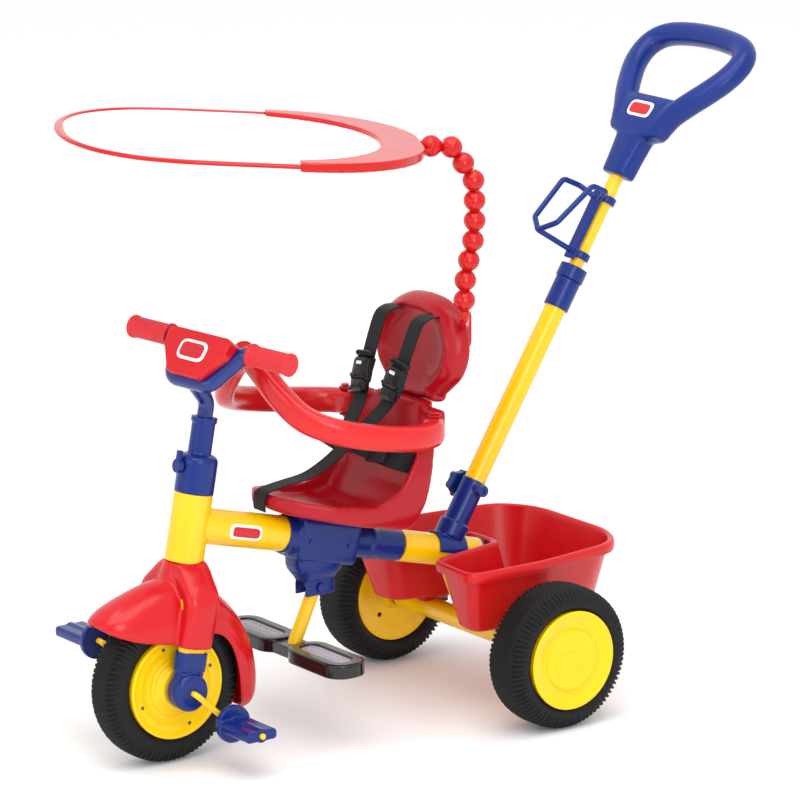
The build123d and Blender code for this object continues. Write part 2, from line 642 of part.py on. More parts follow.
def crown_room(inset):
    """Space under the arch where the tyre passes."""
    foot = LEG_X - LEG_THICKNESS / 2 - inset
    half_shape = [(18 - inset, CROWN_TOP - CROWN_HEIGHT - inset), (foot, CROWN_TOP - 54 - inset * 0.5),
        (foot, -200)]
    face = outline(half_shape + [(-x, z) for x, z in reversed(half_shape)], 0, Plane.XZ)
    return HEAD * extrude(face, amount=LEG_DEPTH * 2, both=True)


def steering_coupler():
    low = HEAD_LENGTH + HEADSET_FLANGE + SNUG
    bulb = disc(HEAD, low, low + 58, COUPLER_BULB_R)
    bulb = fillet(bulb.edges().sort_by(Axis.Z)[-1], 11)
    neck = disc(HEAD, low + 50, COUPLER_TOP, COUPLER_NECK_R)
    lip = disc(HEAD, COUPLER_TOP - 8, COUPLER_TOP, COUPLER_NECK_R + 2)
    body = bulb + neck + lip
    body -= disc(HEAD, 0, COUPLER_TOP - 58 + SNUG, STEERER_R + SNUG)
    body -= disc(HEAD, 0, COUPLER_TOP + 1, STEM_R + RUN)
    knob_hole = disc(knob_axis(), COUPLER_BULB_R - 6, COUPLER_BULB_R + 30, 7.0 + RUN)
    return body - knob_hole


def knob_axis():
    """Plane on the steering axis whose normal points forward."""
    return HEAD * Plane(origin=(0, 0, KNOB_HEIGHT), x_dir=(1, 0, 0), z_dir=(0, -1, 0))


def release_knob():
    axis = knob_axis()
    start = COUPLER_BULB_R - 5.5
    knob = disc(axis, start, COUPLER_BULB_R + 1, 7.0)
    knob += disc(axis, COUPLER_BULB_R + 0.6, COUPLER_BULB_R + 9, 10.5)
    lever = axis * Pos(0, 12, COUPLER_BULB_R + 5) * Box(8, 22, 7)
    return knob + lever


def handlebar():
    stem = bent_tube([(0, 0, COUPLER_TOP - 56), (0, 0, 236), (0, -40, 268)], 24, STEM_R)
    bar = bent_tube([(-GRIP_OUTER_X + 4, BAR_BACK, BAR_HEIGHT), (-66, BAR_BACK, BAR_HEIGHT), (-36, -42,
        266),
                     (36, -42, 266), (66, BAR_BACK, BAR_HEIGHT), (GRIP_OUTER_X - 4, BAR_BACK, BAR_HEIGHT)],
                    18, BAR_R)
    return HANDLEBAR * (stem + bar)


def cover_plane():
    """Plane of the handlebar's cover, tilted up and forward."""
    return Plane(origin=(0, -36, 302), x_dir=(1, 0, 0), z_dir=(0, -0.9, 0.44))


def handlebar_cover():
    """Shield over the middle of the bar, hollow where the bar and stem pass."""
    face = outline([(-62, 34), (62, 34), (58, 6), (30, -36), (-30, -36), (-58, 6)], 10)
    plate = cover_plane() * (Pos(0, 0, -14) * extrude(face, amount=30, dir=(0, 0, 1)))
    plate = HANDLEBAR * plate
    room = HANDLEBAR * bent_tube([(-GRIP_OUTER_X, BAR_BACK, BAR_HEIGHT), (-66, BAR_BACK, BAR_HEIGHT),
                                  (-36, -42, 266), (36, -42, 266), (66, BAR_BACK, BAR_HEIGHT),
                                  (GRIP_OUTER_X, BAR_BACK, BAR_HEIGHT)], 18, BAR_R + 2 * SNUG)
    room += HANDLEBAR * bent_tube([(0, 0, 100), (0, 0, 236), (0, -40, 268)], 24, STEM_R + 2 * SNUG)
    return plate - room


def grips():
    axis = Plane(origin=(0, BAR_BACK, BAR_HEIGHT), x_dir=(0, 1, 0), z_dir=(1, 0, 0))
    grip = disc(axis, GRIP_INNER_X, GRIP_OUTER_X, GRIP_R)
    grip += disc(axis, GRIP_INNER_X, GRIP_INNER_X + 5, GRIP_R + 2)
    grip += disc(axis, GRIP_OUTER_X - 6, GRIP_OUTER_X, GRIP_R + 1.5)
    grip -= disc(axis, 0, GRIP_OUTER_X - 4 + SNUG, BAR_R + GRIP_GAP)
    return group(HANDLEBAR * grip, HANDLEBAR * mirrored(grip))


def front_tyre():
    half_width = FRONT_TYRE_WIDTH / 2
    return Pos(0, *FRONT_AXLE[1:]) * tyre(-half_width, half_width, FRONT_WHEEL_R, FRONT_RIM_R, 17)


def front_rims():
    """Two bulged rim halves on the crank axle."""
    half_width = FRONT_TYRE_WIDTH / 2
    seat = FRONT_RIM_R - 5 - SNUG
    rim = spun([(SNUG, seat), (half_width - 6, seat), (half_width + 1, FRONT_RIM_R - 2), (half_width + 4,
        72),
                (half_width + 1, 66), (half_width - 1, 40), (half_width + 9, 30), (half_width + 9, 0),
                (SNUG, 0), (SNUG, 24), (half_width - 6, 30), (half_width - 6, 66), (half_width - 8,
                seat - 4),
                (SNUG, seat - 4)], *FRONT_AXLE[1:])
    rim -= disc(side_axis(*FRONT_AXLE[1:]), -1, 100, CRANK_R + SNUG)
    for turn in range(4):
        angle = radians(20 + 90 * turn)
        spot = side_axis(FRONT_AXLE[1] + 56 * cos(angle), FRONT_AXLE[2] + 56 * sin(angle))
        rim -= disc(spot, half_width - 20, half_width + 20, 4.5)
    return group(rim, mirrored(rim))


def pedal_point(side):
    """Y and Z of the pedal's axis on one side."""
    reach = CRANK_LENGTH * side
    return (FRONT_AXLE[1] + reach * cos(radians(CRANK_ANGLE)),
        FRONT_AXLE[2] - reach * sin(radians(CRANK_ANGLE)))


def crank():
    """One bent rod: pedal pin, arm, axle, arm and pedal pin."""
    end = PEDAL_INNER_X + PEDAL_LENGTH + 3
    near, far = pedal_point(1), pedal_point(-1)
    points = [(end, *near), (CRANK_ARM_X, *near), (CRANK_ARM_X, *FRONT_AXLE[1:]), (-CRANK_ARM_X,
        *FRONT_AXLE[1:]),
              (-CRANK_ARM_X, *far), (-end, *far)]
    return bent_tube(points, CRANK_BEND, CRANK_R)


def pedal(side):
    """Flat tread block with the round flange at its inner end, and the cap over the rod's end."""
    y, z = pedal_point(side)
    axis = side_axis(y, z)
    block = Pos(side * (PEDAL_INNER_X + PEDAL_LENGTH / 2), y, z) * Box(PEDAL_LENGTH, PEDAL_DEPTH,
        PEDAL_THICKNESS)
    block = fillet(block.edges().filter_by(Axis.X), 5)
    inner = PEDAL_INNER_X
    flange = disc(axis, inner, inner + 9, PEDAL_DISC_R)
    barrel = disc(axis, inner, inner + PEDAL_LENGTH, 10.5)
    if side < 0:
        flange, barrel = mirrored(flange), mirrored(barrel)
    body = block + flange + barrel
    return body - disc(axis, -200, 200, CRANK_R + RUN)


# ---- footrest ------------------------------------------------------------------------------
def footrest_post():
    y, z = FOOTREST_PIVOT
    drop = z - FOOTREST_TOP_Z + 12
    end_y = y - drop * tan(radians(FOOTREST_LEAN))
    post = rod((0, y, z), (0, end_y, z - drop), FOOTREST_POST_R)
    post += disc(side_axis(y, z), -FOOTREST_POST_R, FOOTREST_POST_R, FOOTREST_POST_R + 0.8)
    return post - disc(side_axis(y, z), -50, 50, 4.0 + RUN)


def platform_y():
    y, z = FOOTREST_PIVOT
    return y - (z - FOOTREST_TOP_Z + 12) * tan(radians(FOOTREST_LEAN))


def footrest_platforms():
    """Two foot plates joined by a bridge that clamps the post's foot."""
    y = platform_y()
    z = FOOTREST_TOP_Z - PLATFORM_THICKNESS / 2
    plate = Pos(PLATFORM_X, y, z) * Box(PLATFORM_LENGTH, PLATFORM_DEPTH, PLATFORM_THICKNESS)
    plate = fillet(plate.edges().filter_by(Axis.Z), 30)
    plate = fillet(plate.edges().group_by(Axis.Z)[-1], 4)
    well = Pos(PLATFORM_X, y, FOOTREST_TOP_Z) * Box(PLATFORM_LENGTH - 34, PLATFORM_DEPTH - 34, 8)
    plate -= fillet(well.edges().filter_by(Axis.Z), 15)
    bridge = Pos(0, y, z - 2) * Box(2 * (PLATFORM_X - PLATFORM_LENGTH / 2) + 30, 44, PLATFORM_THICKNESS - 4)
    body = plate + mirrored(plate) + bridge
    top = (0, FOOTREST_PIVOT[0], FOOTREST_PIVOT[1])
    end_z = FOOTREST_TOP_Z - 12
    return body - rod((0, y, end_z), top, FOOTREST_POST_R + SNUG)


# ---- push pole -----------------------------------------------------------------------------
def clamp_axis():
    """Plane on the pole's axis at the clamp bolt, normal along X."""
    spot = POLE.origin + POLE_DIR * CLAMP_HEIGHT
    return side_axis(spot.Y, spot.Z)


def pole_socket():
    """Saddle on the beam with the cup that takes the pole, and the clamp's bosses."""
    spot = POLE_FOOT[1] - 9
    saddle = disc(BEAM, beam_at(spot - 26), beam_at(spot + 26), BEAM_REAR_R + 4)
    saddle &= BEAM * Pos(0, -60, 0) * Box(200, 120, 600)
    cup = disc(POLE, -14, SOCKET_TOP, SOCKET_R)
    shoulder = disc(POLE, 2, 26, SOCKET_R + 4)
    bosses = disc(clamp_axis(), -SOCKET_R - 4, SOCKET_R + 4, 9.5)
    body = saddle + cup + shoulder + bosses
    body -= disc(BEAM, beam_at(-300), beam_at(200), BEAM_REAR_R + SNUG)
    body -= disc(POLE, 12 - SNUG, SOCKET_TOP + 1, LOWER_TUBE_R + SNUG)
    return body - disc(clamp_axis(), -60, 60, 3.0 + RUN)


def pole_lower_tube():
    tube = disc(POLE, 12, SLEEVE_BOTTOM + 30, LOWER_TUBE_R, LOWER_TUBE_R - 1.5)
    return tube - disc(clamp_axis(), -60, 60, 3.0 + RUN)


def pole_lock_sleeve():
    sleeve = disc(POLE, SLEEVE_BOTTOM, RING_BOTTOM, SLEEVE_R)
    sleeve += disc(POLE, RING_BOTTOM, RING_TOP - 1, SLEEVE_R - 5)
    sleeve -= disc(POLE, SLEEVE_BOTTOM, SLEEVE_BOTTOM + 30 + SNUG, LOWER_TUBE_R + SNUG)
    return sleeve - disc(POLE, SLEEVE_BOTTOM, RING_TOP, UPPER_TUBE_R + RUN)


def pole_lock_ring():
    return disc(POLE, RING_BOTTOM + 0.3, RING_TOP, RING_R, SLEEVE_R - 5 + RUN)


def pole_upper_tube():
    return disc(POLE, SLEEVE_BOTTOM - 90, HANDLE_BOTTOM + 24, UPPER_TUBE_R, UPPER_TUBE_R - 1.5)


def pole_knob():
    """Scalloped clamp knob with its bolt."""
    axis = clamp_axis()
    bolt = disc(axis, -SOCKET_R - 6, SOCKET_R + 11, 3.0)
    outer = -SOCKET_R - 4.6
    knob = disc(axis, outer - 14, outer, 18.5)
    for turn in range(6):
        angle = radians(60 * turn)
        lobe = Plane(origin=axis.origin + Vector(0, 16 * cos(angle), 16 * sin(angle)), z_dir=(1, 0, 0))
        knob += disc(lobe, outer - 14, outer, 6.0)
    return bolt + knob


def handle_outline(grow):
    """Front outline of the push handle in the pole's plane: half of it, with X from 0 up."""
    g = grow
    half_shape = [(26 + g, -g), (34 + g, 70), (66 + g, 84), (84 + g, 134), (108 + g, 180), (133 + g, 226),
                  (120 + g * 0.7, 256 + g * 0.7), (66, 264 + g)]
    left = [(-x, v) for x, v in reversed(half_shape)]
    return outline(half_shape + left, 11, Plane.XZ)


def handle_hole(grow):
    half_shape = [(38 + grow, 138 - grow), (62 + grow, 180), (92 + grow, 212), (84 + grow, 226 + grow)]
    left = [(-x, v) for x, v in reversed(half_shape)]
    return outline(half_shape + left, 7, Plane.XZ)


def handle_band(front, back):
    """Side profile of the handle between two offsets from its curved middle surface."""
    curve = [(0, -1), (0, 90), (7, 150), (20, 205), (40, 268)]
    near = [(bend + front, v) for bend, v in curve]
    far = [(bend + back, v) for bend, v in reversed(curve)]
    return side_slab(near + far, -160, 160)


def handle_shell(front, back, cavity_front, cavity_back):
    """One half of the hollow handle, in the pole's plane."""
    face = extrude(handle_outline(0), amount=120, both=True) - extrude(handle_hole(0), amount=120,
        both=True)
    core = extrude(handle_outline(-HANDLE_WALL), amount=120, both=True)
    core -= extrude(handle_hole(HANDLE_WALL), amount=120, both=True)
    shell = (face & handle_band(front, back)) - (core & handle_band(cavity_front, cavity_back))
    neck = disc(Plane.XY, 0, 40, UPPER_TUBE_R + 6)
    shell += neck & handle_band(front, back)
    shell -= disc(Plane.XY, -1, 24 + SNUG, UPPER_TUBE_R + SNUG)
    return POLE * Pos(0, 0, HANDLE_BOTTOM) * shell


def handle_shell_front():
    return handle_shell(-17, -SNUG, -17 + HANDLE_WALL, 1)


def handle_shell_back():
    return handle_shell(SNUG, 17, -1, 17 - HANDLE_WALL)


def bottle_cage():
    """Two clamps on the pole, a spine and two arched side bars joined at the foot."""
    low, high = CAGE_CLAMPS
    rings = None
    for height in (low, high):
        ring = disc(POLE, height - 6, height + 6, UPPER_TUBE_R + 4.5, UPPER_TUBE_R + SNUG)
        rings = ring if rings is None else rings + ring
    spine = Pos(0, -UPPER_TUBE_R - 7, (low + high) / 2) * Box(22, 6, high - low + 24)
    body = rings + POLE * spine
    back = -UPPER_TUBE_R - 8
    deep = back - CAGE_DEPTH
    arm = bent_tube([(6, back, high - 4), (CAGE_X, back - 14, high + 4), (CAGE_X + 3, back - 46, high),
                     (CAGE_X - 5, deep + 6, low + 20), (0, deep, low)], 10, CAGE_BAR_R)
    foot = rod((0, back, low), (0, deep + 1, low), CAGE_BAR_R)
    body += POLE * (arm + mirrored(arm) + foot)
    return body - disc(POLE, low - 30, high + 30, UPPER_TUBE_R + SNUG)


# ---- gooseneck and canopy ------------------------------------------------------------------
FORWARD = Vector(-sin(radians(CANOPY_SWIVEL)), -cos(radians(CANOPY_SWIVEL)), 0)
SIDEWAYS = Vector(cos(radians(CANOPY_SWIVEL)), -sin(radians(CANOPY_SWIVEL)), 0)


def lean_direction(lean):
    """Unit vector that leans forward from upright by an angle, in the gooseneck's plane."""
    return FORWARD * sin(radians(lean)) + Vector(0, 0, 1) * cos(radians(lean))


def bead_centres():
    centres = [Vector(*BEAD_START)]
    for lean in BEAD_LEANS:
        centres.append(centres[-1] + lean_direction(lean) * BEAD_PITCH)
    return centres


BEAD_CENTRES = bead_centres()
BEAD_IN_LEANS = (0.0,) + BEAD_LEANS
BEAD_OUT_LEANS = BEAD_LEANS + (90.0 - CANOPY_RISE,)


def bead(index):
    """Ball whose two ends are cut flat where it meets its neighbours."""
    centre = BEAD_CENTRES[index]
    flat = BEAD_PITCH / 2 - LINK_GAP / 2
    ball = Pos(*centre) * Sphere(BEAD_R)
    for direction in (lean_direction(BEAD_IN_LEANS[index]) * -1, lean_direction(BEAD_OUT_LEANS[index])):
        ball -= disc(Plane(origin=centre, z_dir=direction), flat, flat + BEAD_R, BEAD_R + 1)
    return ball


def gooseneck_link(number):
    """Two neighbouring beads that move as one."""
    first = 2 * (number - 1)
    return group(bead(first), bead(first + 1))


def gooseneck_base():
    """Stub below the first bead that runs behind the backrest to its clip."""
    x, y, z = BEAD_START
    top = z - BEAD_PITCH / 2 - LINK_GAP / 2
    neck = bent_tube([(x, y, top), (x, y, top - 12), (x - 50, y + 36, top - 40),
                      (x - 50, y + 36, top - 60)], 9, 7.4)
    plate = Pos(x - 66, y + 38, top - 42) * Box(52, 12, 56)
    plate = fillet(plate.edges().filter_by(Axis.Y), 8)
    body = neck + plate
    return body - side_slab([(-160, 480), (-102.1, 480), (-79.7, BACK_TOP_Z), (-160, BACK_TOP_Z)], -200,
                            BACK_HALF_WIDTH + SOFT)


def canopy_plane():
    """Plane of the canopy: origin at the yoke's neck, x forward along the canopy, y to the side."""
    origin = BEAD_CENTRES[-1] + lean_direction(BEAD_OUT_LEANS[-1]) * (BEAD_PITCH / 2)
    forward = FORWARD * cos(radians(CANOPY_RISE)) + Vector(0, 0, 1) * sin(radians(CANOPY_RISE))
    return Plane(origin=origin, x_dir=forward, z_dir=forward.cross(SIDEWAYS))


def canopy_face(rear, side, tip, thickness):
    """Rounded plate on the canopy's plane, set in from its rear, its sides and its tip."""
    length, width = CANOPY_LENGTH - rear - tip, CANOPY_WIDTH - 2 * side
    corner = min(CANOPY_CORNER_R, length / 2 - 1, width / 2 - 1)
    face = extrude(RectangleRounded(length, width, corner), amount=thickness, dir=(0, 0, 1))
    return Pos(LINK_GAP / 2 + rear + length / 2, 0, -thickness / 2) * face


def canopy_rear(far):
    """Everything between the neck and the ends of the yoke's arms, or beyond them."""
    middle = YOKE_REACH - 500 if far == 0 else YOKE_REACH + SNUG + 500
    return Pos(middle, 0, 0) * Box(1000, CANOPY_WIDTH + 40, 80)


def fabric_channel():
    return canopy_face(YOKE_DEPTH - FABRIC_INSET - SOFT, FABRIC_INSET - SOFT, FABRIC_INSET - SOFT,
                       FABRIC_THICKNESS + 2 * SOFT)


def canopy_yoke():
    """Flat Y: a broad plate from the neck, and two arms along the sides of the cloth."""
    plate = canopy_face(0, 0, 0, YOKE_THICKNESS)
    plate -= canopy_face(YOKE_DEPTH, YOKE_ARM_WIDTH, YOKE_ARM_WIDTH, YOKE_THICKNESS)
    yoke = (plate & canopy_rear(0)) - fabric_channel()
    return canopy_plane() * yoke


def canopy_hoop():
    """Thin rim of the far part, with a thicker bow at the tip."""
    rim = canopy_face(0, 0, 0, HOOP_THICKNESS)
    rim -= canopy_face(YOKE_DEPTH, HOOP_WIDTH, BOW_WIDTH, HOOP_THICKNESS)
    hoop = (rim & canopy_rear(1)) - fabric_channel()
    return canopy_plane() * hoop


def canopy_fabric():
    """Flat cloth stretched between the yoke and the hoop."""
    cloth = canopy_face(YOKE_DEPTH - FABRIC_INSET, FABRIC_INSET, FABRIC_INSET, FABRIC_THICKNESS)
    return canopy_plane() * cloth


# ---- all nodes -----------------------------------------------------------------------------
def build_nodes():
    shell = housing()
    wheel = {"tyre": rear_tyre(), "rim": rear_rim(), "cap": rear_cap()}
    arm = guard_arm()
    nodes = {
        "head_tube": head_tube(),
        "main_beam": main_beam(),
        "rear_frame": rear_frame(),
        "housing_left": half(shell, 1),
        "housing_right": half(shell, -1),
        "headset_bushes": headset_bushes(),
        "beam_end_cap": beam_end_cap(),
        "frame_screws": frame_screws(),
        "seat_pan": seat_pan(),
        "seat_backrest": seat_backrest(),
        "shoulder_straps": shoulder_straps(),
        "lap_straps": lap_straps(),
        "crotch_strap": crotch_strap(),
        "harness_buckles": harness_buckles(),
        "guard_arm_left": arm,
        "guard_arm_right": mirrored(arm),
        "guard_pins": guard_pins(),
        "basket": basket(),
        "rear_axle": rear_axle(),
        "axle_fittings": axle_fittings(),
        "fork": fork(),
        "fork_ends": fork_ends(),
        "fender": fender(),
        "steering_coupler": steering_coupler(),
        "release_knob": release_knob(),
        "handlebar": handlebar(),
        "handlebar_cover": handlebar_cover(),
        "grips": grips(),
        "front_tyre": front_tyre(),
        "front_rims": front_rims(),
        "crank": crank(),
        "pedal_left": pedal(1),
        "pedal_right": pedal(-1),
        "footrest_post": footrest_post(),
        "footrest_platforms": footrest_platforms(),
        "pole_socket": pole_socket(),
        "pole_lower_tube": pole_lower_tube(),
        "pole_lock_sleeve": pole_lock_sleeve(),
        "pole_lock_ring": pole_lock_ring(),
        "pole_upper_tube": pole_upper_tube(),
        "pole_knob": pole_knob(),
        "handle_shell_front": handle_shell_front(),
        "handle_shell_back": handle_shell_back(),
        "bottle_cage": bottle_cage(),
        "gooseneck_base": gooseneck_base(),
        "canopy_yoke": canopy_yoke(),
        "canopy_hoop": canopy_hoop(),
        "canopy_fabric": canopy_fabric(),
    }
    for name, piece in wheel.items():
        nodes[f"rear_{name}_left"] = piece
        nodes[f"rear_{name}_right"] = mirrored(piece)
    for number in range(1, 6):
        nodes[f"gooseneck_link_{number}"] = gooseneck_link(number)
    return nodes


def model_shift(nodes):
    """Move that puts the origin at the centre of the bottom of the whole box."""
    boxes = [shape.bounding_box() for shape in nodes.values()]
    low = [min(getattr(box.min, axis) for box in boxes) for axis in "XYZ"]
    high = [max(getattr(box.max, axis) for box in boxes) for axis in "XYZ"]
    return Vector(-(low[0] + high[0]) / 2, -(low[1] + high[1]) / 2, -low[2])


NODES = build_nodes()
SHIFT = model_shift(NODES)

os.makedirs("parts", exist_ok=True)
for node_name, node_shape in NODES.items():
    export_step(Pos(*SHIFT) * node_shape, f"parts/{node_name}.step")
print(len(NODES), "nodes, moved by", [round(value, 3) for value in SHIFT])
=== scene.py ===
# %% [markdown]
# # A toddler's push tricycle
# The CAD model is the frame: it is loaded first, and every visible piece below sits on it and
# rides with one of its bodies.

# %% Load the frame
import bpy
import bmesh
import json
from math import cos, exp, pi, radians, sin, sqrt
from mathutils import Matrix, Vector


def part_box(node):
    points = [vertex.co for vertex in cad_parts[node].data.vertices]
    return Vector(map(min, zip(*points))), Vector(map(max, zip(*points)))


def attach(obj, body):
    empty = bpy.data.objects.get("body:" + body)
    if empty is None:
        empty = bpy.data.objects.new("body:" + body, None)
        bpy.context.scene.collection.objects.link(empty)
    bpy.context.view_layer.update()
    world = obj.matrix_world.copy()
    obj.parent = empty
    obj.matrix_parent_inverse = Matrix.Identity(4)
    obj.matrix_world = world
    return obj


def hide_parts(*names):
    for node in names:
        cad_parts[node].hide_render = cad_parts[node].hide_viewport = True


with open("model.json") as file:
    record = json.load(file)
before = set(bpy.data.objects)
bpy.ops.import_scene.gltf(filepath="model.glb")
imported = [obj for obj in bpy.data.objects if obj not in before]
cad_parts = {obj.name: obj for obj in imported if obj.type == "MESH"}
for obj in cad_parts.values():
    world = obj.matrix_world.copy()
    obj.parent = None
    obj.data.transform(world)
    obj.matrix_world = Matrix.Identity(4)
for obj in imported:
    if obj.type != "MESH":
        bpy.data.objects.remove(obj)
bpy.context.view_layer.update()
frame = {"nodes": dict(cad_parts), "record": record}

# %% [markdown]
# ## Measures
# A tricycle is drawn from its rear axle, its middle plane and the ground. The helper below takes
# millimetres from those three and gives metres in the frame, so the numbers read like a drawing.

# %% Drawing measures to metres
axle_low, axle_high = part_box("rear_axle")
MIDDLE_X = (axle_low[0] + axle_high[0]) / 2
AXLE_Y = (axle_low[1] + axle_high[1]) / 2


def at(x, y, z):
    """Point from millimetres: to the rider's left, behind the rear axle, above the ground."""
    return Vector((MIDDLE_X + x / 1000, AXLE_Y + y / 1000, z / 1000))


print("middle plane", round(MIDDLE_X, 5), "rear axle", round(AXLE_Y, 5))

# %% [markdown]
# ## Camera and light
# The tricycle stands on a pale studio floor, seen from its front left at a child's distance with
# a long lens, so its lines stay nearly parallel. One large soft lamp from above gives the broad
# highlights on the moulded plastic, and a fill keeps the far side readable.

# %% Camera
lean, swing, roll = radians(13.88), radians(53.87), radians(-0.35)
back = Vector((sin(swing) * cos(lean), -cos(swing) * cos(lean), sin(lean)))
right = Vector((cos(swing), sin(swing), 0))
up = back.cross(right)
side_axis = right * cos(roll) + up * sin(roll)
up_axis = up * cos(roll) - right * sin(roll)
camera = bpy.data.objects.new("camera", bpy.data.cameras.new("camera"))
bpy.context.scene.collection.objects.link(camera)
camera.matrix_world = Matrix.Translation(at(5600.2, -4217.6, 2195.2)) @ Matrix(
    (side_axis, up_axis, back)).transposed().to_4x4()
camera.data.lens = 212.6
camera.data.sensor_width = 36
camera.data.clip_end = 100
bpy.context.scene.camera = camera
bpy.context.scene.view_settings.view_transform = "Standard"
print("camera", [round(c, 3) for c in camera.location], camera.data.lens)

# %% Colours and nodes
def linear(code):
    """sRGB hex colour to the linear values that a shader takes."""
    parts = [int(code[i:i + 2], 16) / 255 for i in (1, 3, 5)]
    return [c / 12.92 if c <= 0.04045 else ((c + 0.055) / 1.055) ** 2.4 for c in parts] + [1]


def add(tree, kind, inputs=None, **settings):
    """One node with its settings; an input is a value, a socket, or a node's first output."""
    shading = not kind.startswith(("Geometry", "Function", "NodeGroup"))
    made = tree.nodes.new("ShaderNode" + kind if shading else kind)
    for key, value in settings.items():
        setattr(made, key, value)
    for key, value in (inputs or {}).items():
        if isinstance(value, bpy.types.Node):
            value = value.outputs[0]
        if isinstance(value, bpy.types.NodeSocket):
            tree.links.new(value, made.inputs[key])
        else:
            made.inputs[key].default_value = value
    return made


# %% Lights and floor
def placed(name, data):
    """New object in the scene that holds the data."""
    made = bpy.data.objects.new(name, data)
    bpy.context.scene.collection.objects.link(made)
    return made


def lamp(name, place, target, size, power):
    light = bpy.data.lights.new(name, "AREA")
    light.shape = "RECTANGLE"
    light.size, light.size_y = size
    light.energy = power
    made = placed(name, light)
    made.location = place
    made.rotation_euler = (Vector(target) - Vector(place)).to_track_quat("-Z", "Y").to_euler()


lamp("overhead_softbox", (0.8, -0.6, 3.6), (0, 0, 0.4), (3.2, 3.2), 72)
lamp("left_softbox", (3.4, -1.4, 1.9), (0, 0, 0.5), (1.4, 2.2), 32)
lamp("front_fill", (0.4, -4.2, 1.6), (0, 0, 0.5), (2.4, 1.6), 16)
world = bpy.data.worlds.new("studio")
bpy.context.scene.world = world
world.use_nodes = True
world.node_tree.nodes["Background"].inputs["Color"].default_value = linear("#FFFFFF")
world.node_tree.nodes["Background"].inputs["Strength"].default_value = 1.0

FLOOR_REACH = 30
floor_mesh = bpy.data.meshes.new("studio_floor")
floor_mesh.from_pydata([(x * FLOOR_REACH, y * FLOOR_REACH, 0)
                        for x, y in ((-1, -1), (1, -1), (1, 1), (-1, 1))], [], [(0, 1, 2, 3)])
paper = bpy.data.materials.new("seamless paper")
paper.use_nodes = True
paper.node_tree.nodes["Principled BSDF"].inputs["Base Color"].default_value = linear("#FBFBFB")
paper.node_tree.nodes["Principled BSDF"].inputs["Roughness"].default_value = 0.62
floor_mesh.materials.append(paper)
placed("studio_floor", floor_mesh)
print("lamps and floor ready")

# %% [markdown]
# ## Plastics
# Most of the tricycle is polyolefin, injection or blow moulded and coloured through. Such a
# plastic has a soft, slightly waxy gloss, a fine spark-eroded grain taken from the mould, and a
# faint unevenness of gloss where the melt cooled. One recipe makes them all, with the grain and
# gloss set for each: a slow noise moves the colour and roughness, a fine one is the grain.

# %% Nodes that every finish uses
def shader(name):
    """New material, its node tree, and the object's own place in metres."""
    material = bpy.data.materials.new(name)
    material.use_nodes = True
    return material, material.node_tree, add(material.node_tree, "TexCoord").outputs["Object"]


def noise(tree, place, scale, detail, **more):
    return add(tree, "TexNoise", {"Vector": place, "Scale": scale, "Detail": detail, **more})


def blend(tree, factor, first, second):
    """Colour between two hex codes."""
    return add(tree, "Mix", {"Factor": factor, 6: linear(first), 7: linear(second)}, data_type="RGBA")


def spread(tree, value, low, high, start=0.0, end=1.0):
    """Value between start and end, mapped to low and high."""
    return add(tree, "MapRange", {"Value": value, "From Min": start, "From Max": end,
                                  "To Min": low, "To Max": high})


SPECULAR = 0.26


def finished(material, tint, gloss, height, strength, depth, values):
    """Joins colour, roughness and relief (depth in mm) to the surface and sets its other inputs."""
    tree = material.node_tree
    surface = tree.nodes["Principled BSDF"]
    bump = add(tree, "Bump", {"Height": height, "Strength": strength, "Distance": depth / 1000})
    tree.links.new(tint.outputs[2], surface.inputs["Base Color"])
    tree.links.new(bump.outputs["Normal"], surface.inputs["Normal"])
    if gloss:
        tree.links.new(gloss.outputs[0], surface.inputs["Roughness"])
    for name, value in {"Specular IOR Level": SPECULAR, **values}.items():
        surface.inputs[name].default_value = value
    return material


# %% Moulded plastic
def moulded(name, colour, shade, rough, grain=0.9, depth=0.02, coat=0.25, soft=0.0):
    """Plastic with mould grain: colours, mean roughness, grain size in mm, grain depth in mm."""
    material, tree, place = shader(name)
    slow = noise(tree, place, 14.0, 3.0)
    gloss = spread(tree, slow, rough * 0.85, rough * 1.2, 0.3, 0.7)
    scratches = noise(tree, place, 90.0, 6.0, Roughness=0.75, Distortion=0.6)
    scuff = spread(tree, scratches, 0.0, 0.12, 0.66, 0.78)
    worn = add(tree, "Math", {0: gloss, 1: scuff}, operation="ADD")
    values = {"IOR": 1.5, "Coat Weight": coat * 0.6, "Coat Roughness": 0.12}
    if soft:
        values |= {"Subsurface Weight": soft, "Subsurface Radius": (0.004, 0.001, 0.001),
                   "Subsurface Scale": 1.0}
    return finished(material, blend(tree, slow, shade, colour), worn, noise(tree, place, 1000 / grain, 2.0),
                    0.35, depth, values)


# Blow-moulded polyethylene: waxy, deep red, so the seat looks thick and a little soft.
SEAT_RED = moulded("red polyethylene, blow moulded", "#B00B1D", "#A40819", 0.3, 1.2, 0.03, 0.2)
# The guard ring is the same plastic with a polished mould, for long highlights; its brighter red is painted
# light.
GUARD_RED_PAINTED_LIGHT = moulded("red polyethylene, glossy, painted lighter", "#D42022", "#C81B1D", 0.22, 2.0, 0.01, 0.5)
# Basket and fender are injection moulded with a satin mould: even, clean, orange-leaning red.
BASKET_RED = moulded("red polypropylene, satin", "#CC1219", "#C00F16", 0.3, 0.8, 0.02, 0.2)
FENDER_RED = moulded("red polypropylene, glossy", "#CC101A", "#C00D16", 0.24, 0.9, 0.015, 0.4)
# Canopy frame and beads: shiny and hard, a purer red.
CANOPY_RED = moulded("red ABS, glossy", "#C60C0B", "#BA0A09", 0.2, 1.5, 0.01, 0.5)
